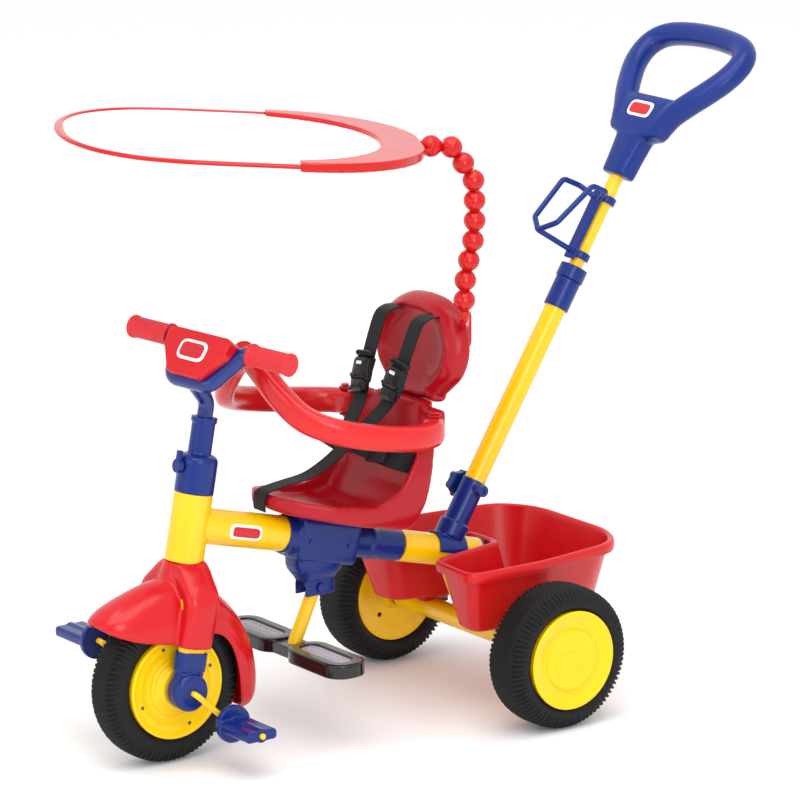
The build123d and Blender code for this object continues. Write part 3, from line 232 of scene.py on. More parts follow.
# Soft PVC grips: paler and duller than hard plastic, with light entering the skin.
GRIP_RED = moulded("red soft PVC", "#D43138", "#C92A30", 0.45, 0.7, 0.03, 0.0, 0.08)
BLUE = moulded("blue polypropylene, glossy", "#072878", "#06236C", 0.24, 1.0, 0.02, 0.35)
HANDLE_BLUE = moulded("blue polyethylene, blow moulded", "#082A7C", "#072570", 0.3, 1.3, 0.03, 0.2)
RIM_YELLOW = moulded("yellow polypropylene, glossy", "#FCCF08", "#F4C304", 0.28, 1.0, 0.02, 0.3)
BLACK = moulded("black ABS, satin", "#0C0C0E", "#141417", 0.34, 0.8, 0.02, 0.1)
FOOT_BLACK = moulded("black ABS, glossy", "#101013", "#18181B", 0.14, 2.0, 0.006, 0.7)
INSERT_GREY = moulded("grey ABS, glossy", "#8F8892", "#A39BA4", 0.2, 1.5, 0.01, 0.4)
BADGE_WHITE = moulded("white ABS, glossy", "#F4F2F2", "#ECEAEA", 0.24, 1.5, 0.006, 0.4)
BADGE_RED = moulded("red badge enamel", "#C9202B", "#BD1A25", 0.22, 1.5, 0.006, 0.4)
print("plastics ready")

# %% [markdown]
# ## Powder coat and bright metal
# The tubes are steel with a baked powder coat: glossy, with the slow ripple called orange peel,
# a few millimetres from crest to crest. The axle and screws are bare zinc-plated steel, whose
# drawing marks run round the bar and stretch its highlight.

# %% Metal finishes
def powder_coat(name, colour, shade):
    """Baked powder on steel: orange peel 3 mm from crest to crest, and a hard clear gloss."""
    material, tree, place = shader(name)
    slow = noise(tree, place, 9.0, 4.0)
    return finished(material, blend(tree, slow, shade, colour), spread(tree, slow, 0.2, 0.3, 0.3, 0.7),
                    noise(tree, place, 1000 / 3.0, 1.0), 0.25, 0.01,
                    {"Coat Weight": 0.6, "Coat Roughness": 0.08})


def zinc(name):
    """Zinc-plated steel, drawn: fine marks along the bar, dull grey with a blurred shine."""
    material, tree, place = shader(name)
    marks = noise(tree, add(tree, "Mapping", {"Vector": place, "Scale": (20.0, 900.0, 900.0)}), 1.0, 3.0)
    return finished(material, blend(tree, marks, "#A7A8AC", "#C9CACD"), spread(tree, marks, 0.22, 0.42),
                    marks, 0.3, 0.03, {"Metallic": 1.0})


YELLOW_COAT = powder_coat("yellow powder coat on steel", "#F9C805", "#EFBB02")
BLUE_COAT = powder_coat("blue powder coat on steel", "#072776", "#06226A")
ZINC = zinc("zinc-plated steel, drawn")
# The screws sunk in the front rim are coloured near black as painted shade of their sunk holes, so they read as
# dark spots.
SCREW_HOLE_SHADE = powder_coat("screw painted dark for hole shade", "#1A1A1D", "#26262A")
print("metals ready")

# %% [markdown]
# ## Tyre, webbing and cloth
# The tyres are blow-moulded from hard black plastic rubber: grey-black, with dust in the low
# places. The harness is polyester webbing, woven in ribs of about 1.5 mm that run along the
# strap. The sun cloth is a thin white plain weave, whose threads are drawn at 1.2 mm, coarser than
# the real 0.3 mm, so that they show.

# %% Tyre rubber, webbing and cloth
def tyre_rubber():
    material, tree, place = shader("black tyre rubber, moulded")
    slow = noise(tree, place, 22.0, 5.0)
    return finished(material, blend(tree, slow, "#0A0A0B", "#151517"), spread(tree, slow, 0.5, 0.68),
                    noise(tree, place, 1100.0, 2.0), 0.5, 0.05, {})


def woven(name, colour, dark, along, across, depth, rough, sheen):
    """Weave on the piece's UV map, which is in metres: thread spacing along and across in mm."""
    material, tree, _ = shader(name)
    place = add(tree, "UVMap", uv_map="weave").outputs["UV"]
    warp, weft = (add(tree, "TexWave", {"Vector": place, "Scale": 1000 / pitch * pi / 10}, wave_type="BANDS",
                      bands_direction=axis, wave_profile="SIN").outputs["Fac"]
                  for axis, pitch in (("X", across), ("Y", along)))
    both = add(tree, "Math", {0: warp, 1: weft}, operation="MULTIPLY")
    fuzz = noise(tree, place, 60.0, 5.0)
    tone = add(tree, "Math", {0: both, 1: fuzz, 2: 0.15}, operation="MULTIPLY_ADD")
    return finished(material, blend(tree, tone, dark, colour), None, both, 0.6, depth,
                    {"Roughness": rough, "Sheen Weight": sheen, "Sheen Roughness": 0.4})


TYRE = tyre_rubber()
WEBBING = woven("black polyester webbing, woven", "#141416", "#070708", 2.4, 1.5, 0.25, 0.62, 0.1)
CLOTH = woven("white polyester cloth, plain weave", "#F6F6F6", "#E9E9EB", 1.2, 1.2, 0.06, 0.75, 0.3)
THREAD = woven("white sewing thread, twisted", "#FFFFFF", "#DADADD", 0.6, 0.6, 0.05, 0.6, 0.2)
print("tyre, webbing and cloth ready")

# %% [markdown]
# ## Tools for shapes
# Moulded parts have no sharp corner anywhere, because melt doesn't fill one. Three tools cover
# them: a turned profile with rounded corners, a section swept along a smooth line, and a
# softened copy of a CAD solid, which is voxel remeshed and relaxed as if by a mould's radii.

# %% Mesh, piece and smoothing helpers
def build(name, points, faces, sharp=None, weave=None):
    """Closed mesh, its normals outwards, shaded smooth; weave gives each point's UV in metres."""
    mesh = bpy.data.meshes.new(name)
    mesh.from_pydata([tuple(p) for p in points], [], faces)
    if weave:
        layer = mesh.uv_layers.new(name="weave")
        for corner in mesh.loops:
            layer.data[corner.index].uv = weave[corner.vertex_index]
    work = bmesh.new()
    work.from_mesh(mesh)
    bmesh.ops.remove_doubles(work, verts=work.verts, dist=1e-7)
    bmesh.ops.recalc_face_normals(work, faces=work.faces)
    work.to_mesh(mesh)
    work.free()
    mesh.shade_smooth()
    if sharp:
        mesh.set_sharp_from_angle(angle=radians(sharp))
    return mesh


def joined(name, meshes, sharp=None):
    """One mesh of several."""
    work = bmesh.new()
    for mesh in meshes:
        work.from_mesh(mesh)
    result = bpy.data.meshes.new(name)
    work.to_mesh(result)
    work.free()
    if sharp:
        result.set_sharp_from_angle(angle=radians(sharp))
    return result


def piece(name, mesh, material, body, slot, nodes=()):
    """Shows a mesh as a piece of a body, in the place of CAD nodes if any are named."""
    shown = placed(name, mesh)
    mesh.materials.clear()
    mesh.materials.append(material)
    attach(shown, body)
    if nodes:
        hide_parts(*nodes)
    print(name, len(mesh.polygons), "faces")
    return shown


def evaluated(worker):
    """Plain mesh of an object after its modifiers; the object is removed."""
    graph = bpy.context.evaluated_depsgraph_get()
    result = bpy.data.meshes.new_from_object(worker.evaluated_get(graph))
    bpy.data.objects.remove(worker)
    return result


def baked(mesh, steps):
    """The mesh after modifiers, given as (kind, settings), as a new plain mesh."""
    worker = placed("worker", mesh)
    for kind, settings in steps:
        modifier = worker.modifiers.new(kind, kind)
        for key, value in settings.items():
            setattr(modifier, key, value)
    return evaluated(worker)


def softened(nodes, voxel, passes, extra=()):
    """Copy of CAD nodes and extra meshes as one skin; voxel in mm, passes of relaxing."""
    work = bmesh.new()
    for mesh in [frame["nodes"][name].data for name in nodes] + list(extra):
        work.from_mesh(mesh)
    bmesh.ops.remove_doubles(work, verts=work.verts, dist=1e-6)
    mesh = bpy.data.meshes.new("softened")
    work.to_mesh(mesh)
    work.free()
    return baked(mesh, [
        ("REMESH", {"mode": "VOXEL", "voxel_size": voxel / 1000, "use_smooth_shade": True}),
        ("SMOOTH", {"factor": 0.5, "iterations": passes})])


def rounded(points, radius, steps=5):
    """The same closed outline with each corner turned into a small curve; radius may be a list."""
    result = []
    for i, corner in enumerate(points):
        corner = Vector(corner)
        before, after = Vector(points[i - 1]), Vector(points[(i + 1) % len(points)])
        reach = radius[i] if isinstance(radius, list) else radius
        a = corner + (before - corner).normalized() * min(reach, (before - corner).length * 0.48)
        b = corner + (after - corner).normalized() * min(reach, (after - corner).length * 0.48)
        for k in range(steps + 1):
            t = k / steps
            result.append(a * (1 - t) ** 2 + corner * 2 * t * (1 - t) + b * t ** 2)
    return result


def smooth_line(points, per_span=8, closed=False):
    """Catmull-Rom line through the points."""
    points = [Vector(p) for p in points]
    count = len(points)
    result = []
    for i in range(count if closed else count - 1):
        if closed:
            p0, p1, p2, p3 = (points[(i + k - 1) % count] for k in range(4))
        else:
            p0, p1 = points[max(i - 1, 0)], points[i]
            p2, p3 = points[i + 1], points[min(i + 2, count - 1)]
        for k in range(per_span):
            t = k / per_span
            result.append(0.5 * ((2 * p1) + (p2 - p0) * t + (2 * p0 - 5 * p1 + 4 * p2 - p3) * t ** 2
                                 + (3 * p1 - p0 - 3 * p2 + p3) * t ** 3))
    if not closed:
        result.append(points[-1])
    return result


def mirrored(profile, side):
    """Profile of (along, radius), turned to the other side when side is -1."""
    return [(side * along, radius) for along, radius in profile]


def skin(name, rings, closed=False, capped=True, sharp=None, weave=None):
    """Surface over rings that have the same number of points."""
    size = len(rings[0])
    points = [p for ring in rings for p in ring]
    faces = []
    for i in range(len(rings) if closed else len(rings) - 1):
        j = (i + 1) % len(rings)
        for k in range(size):
            m = (k + 1) % size
            faces.append((i * size + k, i * size + m, j * size + m, j * size + k))
    if capped and not closed:
        faces.append(tuple(range(size)))
        faces.append(tuple(range(len(points) - size, len(points))))
    return build(name, points, faces, sharp, weave)


def turned(name, profile, place, steps=96, sharp=40):
    """Closed profile of (along, radius) turned about an axis; place maps (along, a, b) to a point."""
    rings = []
    for i in range(steps):
        angle = 2 * pi * i / steps
        rings.append([place(along, radius * cos(angle), radius * sin(angle)) for along, radius in profile])
    return skin(name, rings, closed=True, sharp=sharp)


def swept(name, line, section, up=(0, 0, 1)):
    """Section of (side, height) points in mm, or a rule giving one for 0 to 1, along a line in metres."""
    rings = []
    count = len(line)
    for i, point in enumerate(line):
        ahead = line[min(i + 1, count - 1)] - line[max(i - 1, 0)]
        side = ahead.cross(Vector(up)).normalized()
        high = side.cross(ahead).normalized()
        shape = section(i / (count - 1)) if callable(section) else section
        rings.append([point + (side * s + high * h) / 1000 for s, h in shape])
    return skin(name, rings)


def oval(width, height, power=2.4, steps=28):
    """Rounded section between an ellipse and a box, half width and half height in mm."""
    shape = []
    for i in range(steps):
        c, s = cos(2 * pi * i / steps), sin(2 * pi * i / steps)
        shape.append((width * abs(c) ** (2 / power) * (1 if c >= 0 else -1),
                      height * abs(s) ** (2 / power) * (1 if s >= 0 else -1)))
    return shape


# %% Planes of the slanted parts
def slanted(origin, across, along):
    """Maps (x, y, z) in mm on a tilted plane whose x and z directions are given."""
    x_dir = Vector(across).normalized()
    z_dir = Vector(along).normalized()
    y_dir = z_dir.cross(x_dir)

    def place(x, y, z):
        spot = Vector(origin) + x_dir * x + y_dir * y + z_dir * z
        return at(*spot)
    return place


SIDES = ((1, "left"), (-1, "right"))
ACROSS = (1, 0, 0)
REAR_RADIUS, FRONT_RADIUS, FRONT_Y = 110.0, 118.6, -563
HEAD_TILT, BAR_TURN = radians(11.0), radians(14.4)
HEAD_FOOT = Vector((0, -524.967, 301.4))
bar_matrix = Matrix.Rotation(-HEAD_TILT, 3, "X") @ Matrix.Rotation(BAR_TURN, 3, "Z")


def on_bar(x, y, z):
    """Point on the parked handlebar: across, behind the steering axis, up along it."""
    return at(*(HEAD_FOOT + bar_matrix @ Vector((x, y, z))))


def along_x(y, z):
    """Axis across the tricycle through a height and a distance, for wheels."""
    def place(along, a, b):
        return at(along, y + a, z + b)
    return place


print("shape tools ready")

# %% [markdown]
# ## Plain CAD parts that keep their shape
# Tubes, axles, rims and bushes are already right in the CAD model. They only take their finish.

# %% Finishes of the CAD parts
SLOT_FINISHES = [
    (YELLOW_COAT, "yellow_paint crank_paint"), (BLUE_COAT, "blue_paint"), (SEAT_RED, "seat_plastic"),
    (BLUE, "blue_plastic pedal_plastic ring_plastic"), (GUARD_RED_PAINTED_LIGHT, "guard_plastic"),
    (BASKET_RED, "basket_plastic"), (FENDER_RED, "fender_plastic cover_plastic"),
    (CANOPY_RED, "red_plastic neck_plastic canopy_plastic canopy_wire"), (CLOTH, "canopy_cloth"),
    (RIM_YELLOW, "yellow_plastic cap_plastic"), (TYRE, "tyre"), (GRIP_RED, "grip_rubber"),
    (WEBBING, "webbing"), (BLACK, "buckle_plastic fitting_plastic"), (FOOT_BLACK, "footrest_plastic"),
    (HANDLE_BLUE, "handle_plastic cage_plastic"), (ZINC, "screw_steel axle_steel")]
FINISHES = {slot: finish for finish, slots in SLOT_FINISHES for slot in slots.split()}
NODE_FINISHES = {"headset_bushes": YELLOW_COAT, "guard_pins": GUARD_RED_PAINTED_LIGHT, "frame_screws": BLUE}
for subpart in frame["record"]["subparts"]:
    cad = frame["nodes"][subpart["node"]]
    finish = NODE_FINISHES.get(subpart["node"], FINISHES[subpart["material_slot"]])
    if not cad.material_slots:
        cad.data.materials.append(finish)
    for held in cad.material_slots:
        held.material = finish

# %% [markdown]
# ## Copies by Geometry Nodes
# Screws, grip ribs and stitches repeat. Two small node trees place them: one puts copies on a
# circle about the axle direction, the other along a line at an even pitch.

# %% Node tree: copies on a circle
def node_tree(name, sockets):
    tree = bpy.data.node_groups.new(name, "GeometryNodeTree")
    for label, kind in [("Geometry", "Geometry"), *sockets]:
        tree.interface.new_socket(label, in_out="INPUT", socket_type="NodeSocket" + kind)
    tree.interface.new_socket("Geometry", in_out="OUTPUT", socket_type="NodeSocketGeometry")
    return tree, add(tree, "NodeGroupInput").outputs, add(tree, "NodeGroupOutput")


def copies_at(tree, given, points, turn):
    """The piece on each point."""
    shape = add(tree, "GeometryNodeObjectInfo", {"Object": given["Piece"]}, transform_space="ORIGINAL")
    return add(tree, "GeometryNodeInstanceOnPoints", {
        "Points": points, "Instance": shape.outputs["Geometry"], "Rotation": turn})


def close_tree(tree, instances, given, end):
    """Real copies with their material: the last two nodes of each tree."""
    real = add(tree, "GeometryNodeRealizeInstances", {"Geometry": instances})
    done = add(tree, "GeometryNodeSetMaterial", {"Geometry": real, "Material": given["Material"]})
    tree.links.new(done.outputs["Geometry"], end.inputs["Geometry"])
    return tree


def circle_tree():
    """Copies of a piece on a circle in the YZ plane, each turned to face outwards the same way."""
    tree, given, end = node_tree("copies on a circle", [
        ("Piece", "Object"), ("Count", "Int"), ("Radius", "Float"), ("First angle", "Float"),
        ("Centre", "Vector"), ("Material", "Material")])
    ring = add(tree, "GeometryNodeMeshCircle", {"Vertices": given["Count"], "Radius": given["Radius"]},
               fill_type="NONE")
    step = add(tree, "Math", {0: 2 * pi, 1: given["Count"]}, operation="DIVIDE")
    angle = add(tree, "Math", {0: add(tree, "GeometryNodeInputIndex"), 1: step}, operation="MULTIPLY")
    copies = copies_at(tree, given, ring, add(tree, "CombineXYZ", {"Z": angle}))
    turned_ring = add(tree, "GeometryNodeTransform", {
        "Geometry": copies, "Rotation": add(tree, "CombineXYZ", {"Z": given["First angle"]})})
    upright = add(tree, "GeometryNodeTransform", {
        "Geometry": turned_ring, "Rotation": (0, pi / 2, 0), "Translation": given["Centre"]})
    return close_tree(tree, upright, given, end)


# %% Node tree: copies along a line
def line_tree():
    """Copies of a piece along the mesh's own edges at an even pitch, turned with the line."""
    tree, given, end = node_tree("copies along a line", [
        ("Piece", "Object"), ("Pitch", "Float"), ("Material", "Material")])
    curve = add(tree, "GeometryNodeMeshToCurve", {"Mesh": given["Geometry"]})
    points = add(tree, "GeometryNodeResampleCurve", {"Curve": curve, "Length": given["Pitch"]}, mode="LENGTH")
    turn = add(tree, "FunctionNodeAlignEulerToVector", {"Vector": add(tree, "GeometryNodeInputTangent")},
               axis="X")
    return close_tree(tree, copies_at(tree, given, points, turn), given, end)


def repeated(base, tree, shape, material, values):
    """Plain mesh of the copies: inputs are set by identifier before the first evaluation."""
    model, worker = placed("template", shape), placed("worker", base)
    values = {**values, "Piece": model, "Material": material}
    modifier = worker.modifiers.new("copies", "NODES")
    modifier.node_group = tree
    for socket in tree.interface.items_tree:
        if socket.in_out == "INPUT" and socket.name in values:
            modifier[socket.identifier] = values[socket.name]
    worker.update_tag()
    result = evaluated(worker)
    bpy.data.objects.remove(model)
    return result


def row_of(start, end, pitch, shape, material):
    """Copies in a straight row between two points."""
    row = bpy.data.meshes.new("row")
    row.from_pydata([tuple(start), tuple(end)], [(0, 1)], [])
    return repeated(row, LINE, shape, material, {"Pitch": pitch})


CIRCLE, LINE = circle_tree(), line_tree()
print("node trees", CIRCLE.name, "and", LINE.name)

# %% [markdown]
# ## Tyres
# A blow-moulded tyre is a hollow ring with a tread pressed into it: zigzag ribs round the crown,
# which fan out into radial ribs over the shoulders and die away down the sidewall. The section is
# turned in many small steps, and the grooves sink each point by up to a few millimetres.

# %% Tyre with its tread
def wave(x):
    """Triangle wave between -1 and 1."""
    x = x % 1.0
    return 4 * x - 1 if x < 0.5 else 3 - 4 * x


TREAD_STEPS, GROOVE, RIB, ZIGZAG_PITCH = 810, 1.7, 1.9, 8.0


def clamped(x, low=0.0, high=1.0):
    return max(low, min(high, x))


def tyre_mesh(name, inner_x, outer_x, radius, rim, y, z, ribs):
    half = (outer_x - inner_x) / 2
    middle = (outer_x + inner_x) / 2
    flank = [(half * 0.45, radius - 0.6), (half - 10, radius - 3.4), (half - 3.6, radius - 9.5),
             (half - 0.4, rim + 14), (half, rim + 7), (half - 2, rim + 1), (half - 7, rim - 3.5)]
    section = smooth_line([(-x, r, 0) for x, r in reversed(flank)] + [(0, radius, 0)]
                          + [(x, r, 0) for x, r in flank], 5)
    rings = []
    for i in range(TREAD_STEPS):
        turn = i / TREAD_STEPS
        angle = 2 * pi * turn
        ring = []
        for x, r, _ in section:
            zigzag = cos(2 * pi * (x / ZIGZAG_PITCH + 0.4 * wave(turn * ribs / 2)))
            fork = 0.22 * wave(turn * ribs / 2) * clamped((radius - 4 - r) / 14)
            side = sin(2 * pi * (turn * ribs + fork + abs(x) / 50))
            edge = exp(-(max(0, radius - 6 - r) / 15) ** 2) * clamped((abs(x) - half + 17) / 6)
            lift = -GROOVE * clamped((-zigzag - 0.1) * 3) * clamped((half - 11 - abs(x)) / 3)
            lift += RIB * edge * (clamped(3.2 * side, -1) - 1)
            lift = min(lift, max(0, radius - r))
            ring.append(at(middle + x + lift * 0.4 * (x / half), y + (r + lift) * cos(angle),
                           z + (r + lift) * sin(angle)))
        rings.append(ring)
    return skin(name, rings, closed=True)


for side, word in SIDES:
    mesh = tyre_mesh("rear tyre", 182.2, 259.7, REAR_RADIUS, 79.0, 0, REAR_RADIUS, 84)
    if side < 0:
        mesh.transform(Matrix.Translation((2 * MIDDLE_X, 0, 0)) @ Matrix.Scale(-1, 4, (1, 0, 0)))
        mesh.flip_normals()
    piece(f"tyre_rear_{word}", mesh, TYRE, f"rear_wheel_{word}", "tyre", [f"rear_tyre_{word}"])
piece("tyre_front", tyre_mesh("front tyre", -31, 31, FRONT_RADIUS, 82.0, FRONT_Y, FRONT_RADIUS, 90), TYRE,
      "front_wheel", "tyre", ["front_tyre"])

# %% [markdown]
# ## Wheel caps and rims
# Each rear rim is closed by a snapped-in cap: a raised lip, a dish and a round medallion with a
# plain plaque. A profile turned about the axle gives all of it, with every corner rounded.

# %% Rear caps
CAP_PROFILE = [(252.8, 73.9), (256.7, 73.9), (259.7, 76.5), (261.7, 76), (262.7, 73), (261.7, 70),
               (254.7, 53), (254.7, 49), (256.6, 47.2), (258.7, 46), (258.7, 0.02), (254.7, 0.02),
               (254.7, 43), (250.7, 47), (250.7, 52), (254.7, 70)]


def plaque(name, place, width, height, thick, corner, crown=0.0):
    """Flat rounded plate with a softened edge; place maps (x, y, out) in mm."""
    half_w, half_h = width / 2, height / 2
    outline = rounded([(half_w, half_h), (-half_w, half_h), (-half_w, -half_h), (half_w, -half_h)],
                      corner, 6)
    rings = []
    for inset, out in ((0, -thick), (0, thick * 0.35), (0.35 * thick, thick * 0.85), (1.1 * thick, thick),
                       (half_h * 0.6, thick + crown * 0.7), (half_h * 0.97, thick + crown)):
        kx, ky = 1 - inset / half_w, 1 - inset / half_h
        rings.append([place(p.x * kx, p.y * ky, out) for p in outline])
    return skin(name, rings, sharp=50)


MEDALLION_X, PLAQUE_TILT = 258.7, radians(8)
for side, word in SIDES:
    cap = turned("rear cap", mirrored(rounded(CAP_PROFILE, 2.2, 4), side), along_x(0, REAR_RADIUS), 128)
    piece(f"wheel_cap_{word}", cap, RIM_YELLOW, f"rear_wheel_{word}", "cap_plastic", [f"rear_cap_{word}"])

    def on_cap(x, y, out):
        return at(side * (MEDALLION_X + out), x * cos(PLAQUE_TILT) - y * sin(PLAQUE_TILT),
                  REAR_RADIUS + x * sin(PLAQUE_TILT) + y * cos(PLAQUE_TILT))
    piece(f"cap_plaque_{word}", plaque("plaque", on_cap, 62, 27, 1.0, 8), RIM_YELLOW,
          f"rear_wheel_{word}", "cap_plastic")

# %% Front rim halves
RIM_PROFILE = [(29, 79), (33, 79.6), (35.4, 78), (35.4, 75.5), (33.6, 73), (31.8, 68), (31.2, 60), (29.4, 57),
               (28.6, 50), (29.8, 47.5), (29.2, 42), (31.2, 39.5), (31.4, 35), (36, 32), (40, 28.5), (40, 0.02),
               (24, 0.02), (24, 79)]
halves = [turned("rim", mirrored(rounded(RIM_PROFILE, 1.6, 3), side), along_x(FRONT_Y, FRONT_RADIUS), 112)
          for side, _ in SIDES]
piece("front_rim_halves", joined("rims", halves, 40), RIM_YELLOW, "front_wheel", "yellow_plastic",
      ["front_rims"])


# %% Screws sunk in the front rim
def lying(along, a, b):
    """Place for a small turned piece that stands on the XY plane, in metres about its origin."""
    return Vector((a, b, along)) / 1000


SCREW = [(-1, 0.02), (-1, 2.9), (0.3, 2.9), (0.5, 2.5), (0.3, 1.4), (0.15, 1.2), (0.15, 0.02)]
# Flush near-black screw heads with no holes under them: painted shade of the sunk screw holes.
for side, word in SIDES:
    screws = repeated(bpy.data.meshes.new("none"), CIRCLE, turned("sunk screw", SCREW, lying, 16), SCREW_HOLE_SHADE, {
        "Count": 4, "Radius": 0.064, "First angle": 0.35,
        "Centre": tuple(at(side * 31.4, FRONT_Y, FRONT_RADIUS))})
    piece(f"rim_screws_{word}", screws, SCREW_HOLE_SHADE, "front_wheel", "fitting_plastic")

# %% [markdown]
# ## Seat, back and guard ring
# The bucket and the back are blow moulded: thick, hollow, with large soft radii and a dished
# front. The bucket is the CAD solid relaxed until its edges flow. The back is a closed pillow
# over a drawn outline. The guard ring is an oval tube with long even curves, made in two arms.

# %% Bucket
piece("bucket_seat", softened(["seat_pan"], 2.6, 38), SEAT_RED, "frame", "seat_plastic", ["seat_pan"])

# %% Back
BACK_OUTLINE = [(0, 641), (42, 637), (78, 619), (100, 588), (105, 556), (95, 527), (75, 507), (60, 494),
                (55, 484), (28, 480)]
BACK_MIDDLE_Z = 566


def back_place(x, z, out):
    """Point of the back: across, height, and distance in front of its leaning middle plane."""
    return at(x, -102 + (z - 490) * 0.139 - out, z)


half_line = smooth_line([(x, z, 0) for x, z in BACK_OUTLINE], 5)
line = half_line + [Vector((-p.x, p.y, 0)) for p in reversed(half_line)][:-1]
rings = []
for size, out, dish in ((0.03, 2, 1.0), (0.3, 2.4, 1.0), (0.52, 4.0, 1.0), (0.66, 8.0, 0.9), (0.73, 13.0, 0.6),
                        (0.775, 16.6, 0.2), (0.81, 17.4, 0), (0.85, 15.4, 0), (0.91, 9.5, 0), (0.96, 3.0, 0),
                        (0.99, -5, 0), (1.0, -12, 0), (0.98, -17.5, 0), (0.92, -20, 0), (0.6, -21, 0),
                        (0.03, -21, 0)):
    ring = []
    for p in line:
        x, z = p.x * size, BACK_MIDDLE_Z + (p.y - BACK_MIDDLE_Z) * size
        crease = dish * 3.5 * (1 - min(1, abs(x) / 90) ** 1.5)
        ring.append(back_place(x, z, out - crease))
    rings.append(ring)
back_mesh = baked(skin("back", rings), [("SUBSURF", {"levels": 1, "render_levels": 1})])
piece("bucket_back", back_mesh, SEAT_RED, "frame", "seat_plastic", ["seat_backrest"])

# %% Guard ring
GUARD_LINE = [(114, -150, 462), (136, -168, 462), (151, -205, 465), (154, -250, 471), (148, -302, 481),
              (129, -348, 494), (101, -380, 512), (68, -397, 541), (34, -405, 572), (0.5, -408, 596)]
for side, word in SIDES:
    line = smooth_line([at(side * x, y, z) for x, y, z in GUARD_LINE], 8)
    tube = swept("guard", line, oval(15.5, 19.5, 2.8, 32))
    barrel_profile = rounded([(-16, 0.02), (-16, 16.5), (16, 16.5), (16, 0.02)], 5, 4)
    barrel = turned("barrel", barrel_profile,
                    lambda along, a, b: at(side * 114 + a, -150 + b, 462 + along), 40)
    piece(f"guard_ring_{word}", softened([], 1.7, 6, [tube, barrel]), GUARD_RED_PAINTED_LIGHT, f"guard_arm_{word}",
          "guard_plastic", [f"guard_arm_{word}"])

# %% [markdown]
# ## Basket
# The basket is a deep injection-moulded tray, notched round the beam. Its walls lean out so that
# it leaves the mould, and a rolled rim stiffens the edge. Rings at each height, all with the same
# corner curves, are joined into one closed skin, inside and out.

# %% Basket shell
def basket_ring(inset, z):
    w, lobe = 165.0 - inset, -116.0 + inset
    rear, notch = 209.0 - inset, 31.0 + inset
    mouth, slot = 62.0 + inset * 0.6, 36.0 + inset * 0.6
    corners = [(-w + 20, rear - 44), (-90, rear - 6), (90, rear - 6), (w - 20, rear - 44), (w, 20),
               (w - 4, lobe), (mouth, lobe + 8), (slot, notch), (-slot, notch), (-mouth, lobe + 8),
               (-w + 4, lobe), (-w, 20)]
    radii = [34, 34, 34, 34, 30, 24, 20, 20, 20, 20, 24, 30]
    return [at(p.x, p.y, z) for p in rounded(corners, radii, 7)]


BASKET_RINGS = [(31, 138.2), (27, 138.6), (24.6, 141), (23.4, 146), (13, 186), (4.4, 222), (3.6, 224.4),
                (-3.4, 224.6), (-5.4, 226), (-6, 229), (-6, 236.4), (-5.4, 239.6), (-3.4, 241.6), (0, 242),
                (2.4, 241), (3.6, 238.4), (4.6, 234), (15, 190), (25.6, 148), (27.6, 143.4), (31, 141.4),
                (36, 141)]
shell = skin("basket", [basket_ring(inset, z) for inset, z in BASKET_RINGS], capped=False)
work = bmesh.new()
work.from_mesh(shell)
for low in (True, False):
    edges = [e for e in work.edges if e.is_boundary and (e.verts[0].co.z < 0.1396) == low]
    bmesh.ops.triangle_fill(work, edges=edges, use_beauty=True)
for x in (-98, 98):
    foot = bmesh.ops.create_cube(work, size=1)["verts"]
    bmesh.ops.scale(work, verts=foot, vec=(0.026, 0.044, 0.014))
    bmesh.ops.translate(work, verts=foot, vec=at(x, 0, 132.5))
bmesh.ops.recalc_face_normals(work, faces=work.faces)
work.to_mesh(shell)
work.free()
shell.shade_smooth()
shell.set_sharp_from_angle(angle=radians(50))
piece("basket_tray", shell, BASKET_RED, "frame", "basket_plastic", ["basket"])

# %% [markdown]
# ## Softened mouldings
# These parts are right in the CAD model except that their edges are crisp. Each gets a skin
# remeshed at 0.7 to 1.8 mm and relaxed, which rounds an edge by about a wall's thickness.

# %% Softened parts
SOFT_PARTS = [
    # name, CAD nodes, voxel in mm, passes, finish, body, material slot
    ("bottle_ring", ["bottle_cage"], 1.1, 5, HANDLE_BLUE, "pole_top", "cage_plastic"),
    ("bar_cover", ["handlebar_cover"], 1.3, 9, FENDER_RED, "handlebar", "cover_plastic"),
    ("beam_housing_left", ["housing_left"], 1.8, 20, BLUE, "frame", "blue_plastic"),
    ("beam_housing_right", ["housing_right"], 1.8, 20, BLUE, "frame", "blue_plastic"),
    ("pole_cup", ["pole_socket"], 1.4, 4, BLUE, "frame", "blue_plastic"),
    ("clutch_sleeve", ["steering_coupler"], 1.3, 4, BLUE, "steering", "blue_plastic"),
    ("axle_ends", ["fork_ends"], 1.3, 4, BLUE, "steering", "blue_plastic"),
    ("clutch_button", ["release_knob"], 0.7, 4, BLUE, "release_knob", "blue_plastic"),
    ("pedal_block_left", ["pedal_left"], 1.3, 3, BLUE, "pedal_left", "pedal_plastic"),
    ("pedal_block_right", ["pedal_right"], 1.3, 3, BLUE, "pedal_right", "pedal_plastic"),
    ("foot_plates", ["footrest_platforms"], 1.5, 4, FOOT_BLACK, "footrest", "footrest_plastic"),
    ("clamp_knob", ["pole_knob"], 0.9, 4, BLUE, "pole_knob", "blue_plastic"),
    ("tube_sleeve", ["pole_lock_sleeve"], 1.0, 3, BLUE, "frame", "blue_plastic"),
    ("tube_ring", ["pole_lock_ring"], 0.8, 2, BLUE, "pole_lock_ring", "ring_plastic"),
    ("canopy_frame", ["canopy_yoke"], 1.3, 6, CANOPY_RED, "canopy", "canopy_plastic"),
    ("neck_clip", ["gooseneck_base"], 1.1, 5, CANOPY_RED, "frame", "red_plastic"),
    ("harness_clips", ["harness_buckles"], 0.9, 2, BLACK, "frame", "buckle_plastic")]
for name, nodes, voxel, passes, finish, body, slot in SOFT_PARTS:
    piece(name, softened(nodes, voxel, passes), finish, body, slot, nodes)

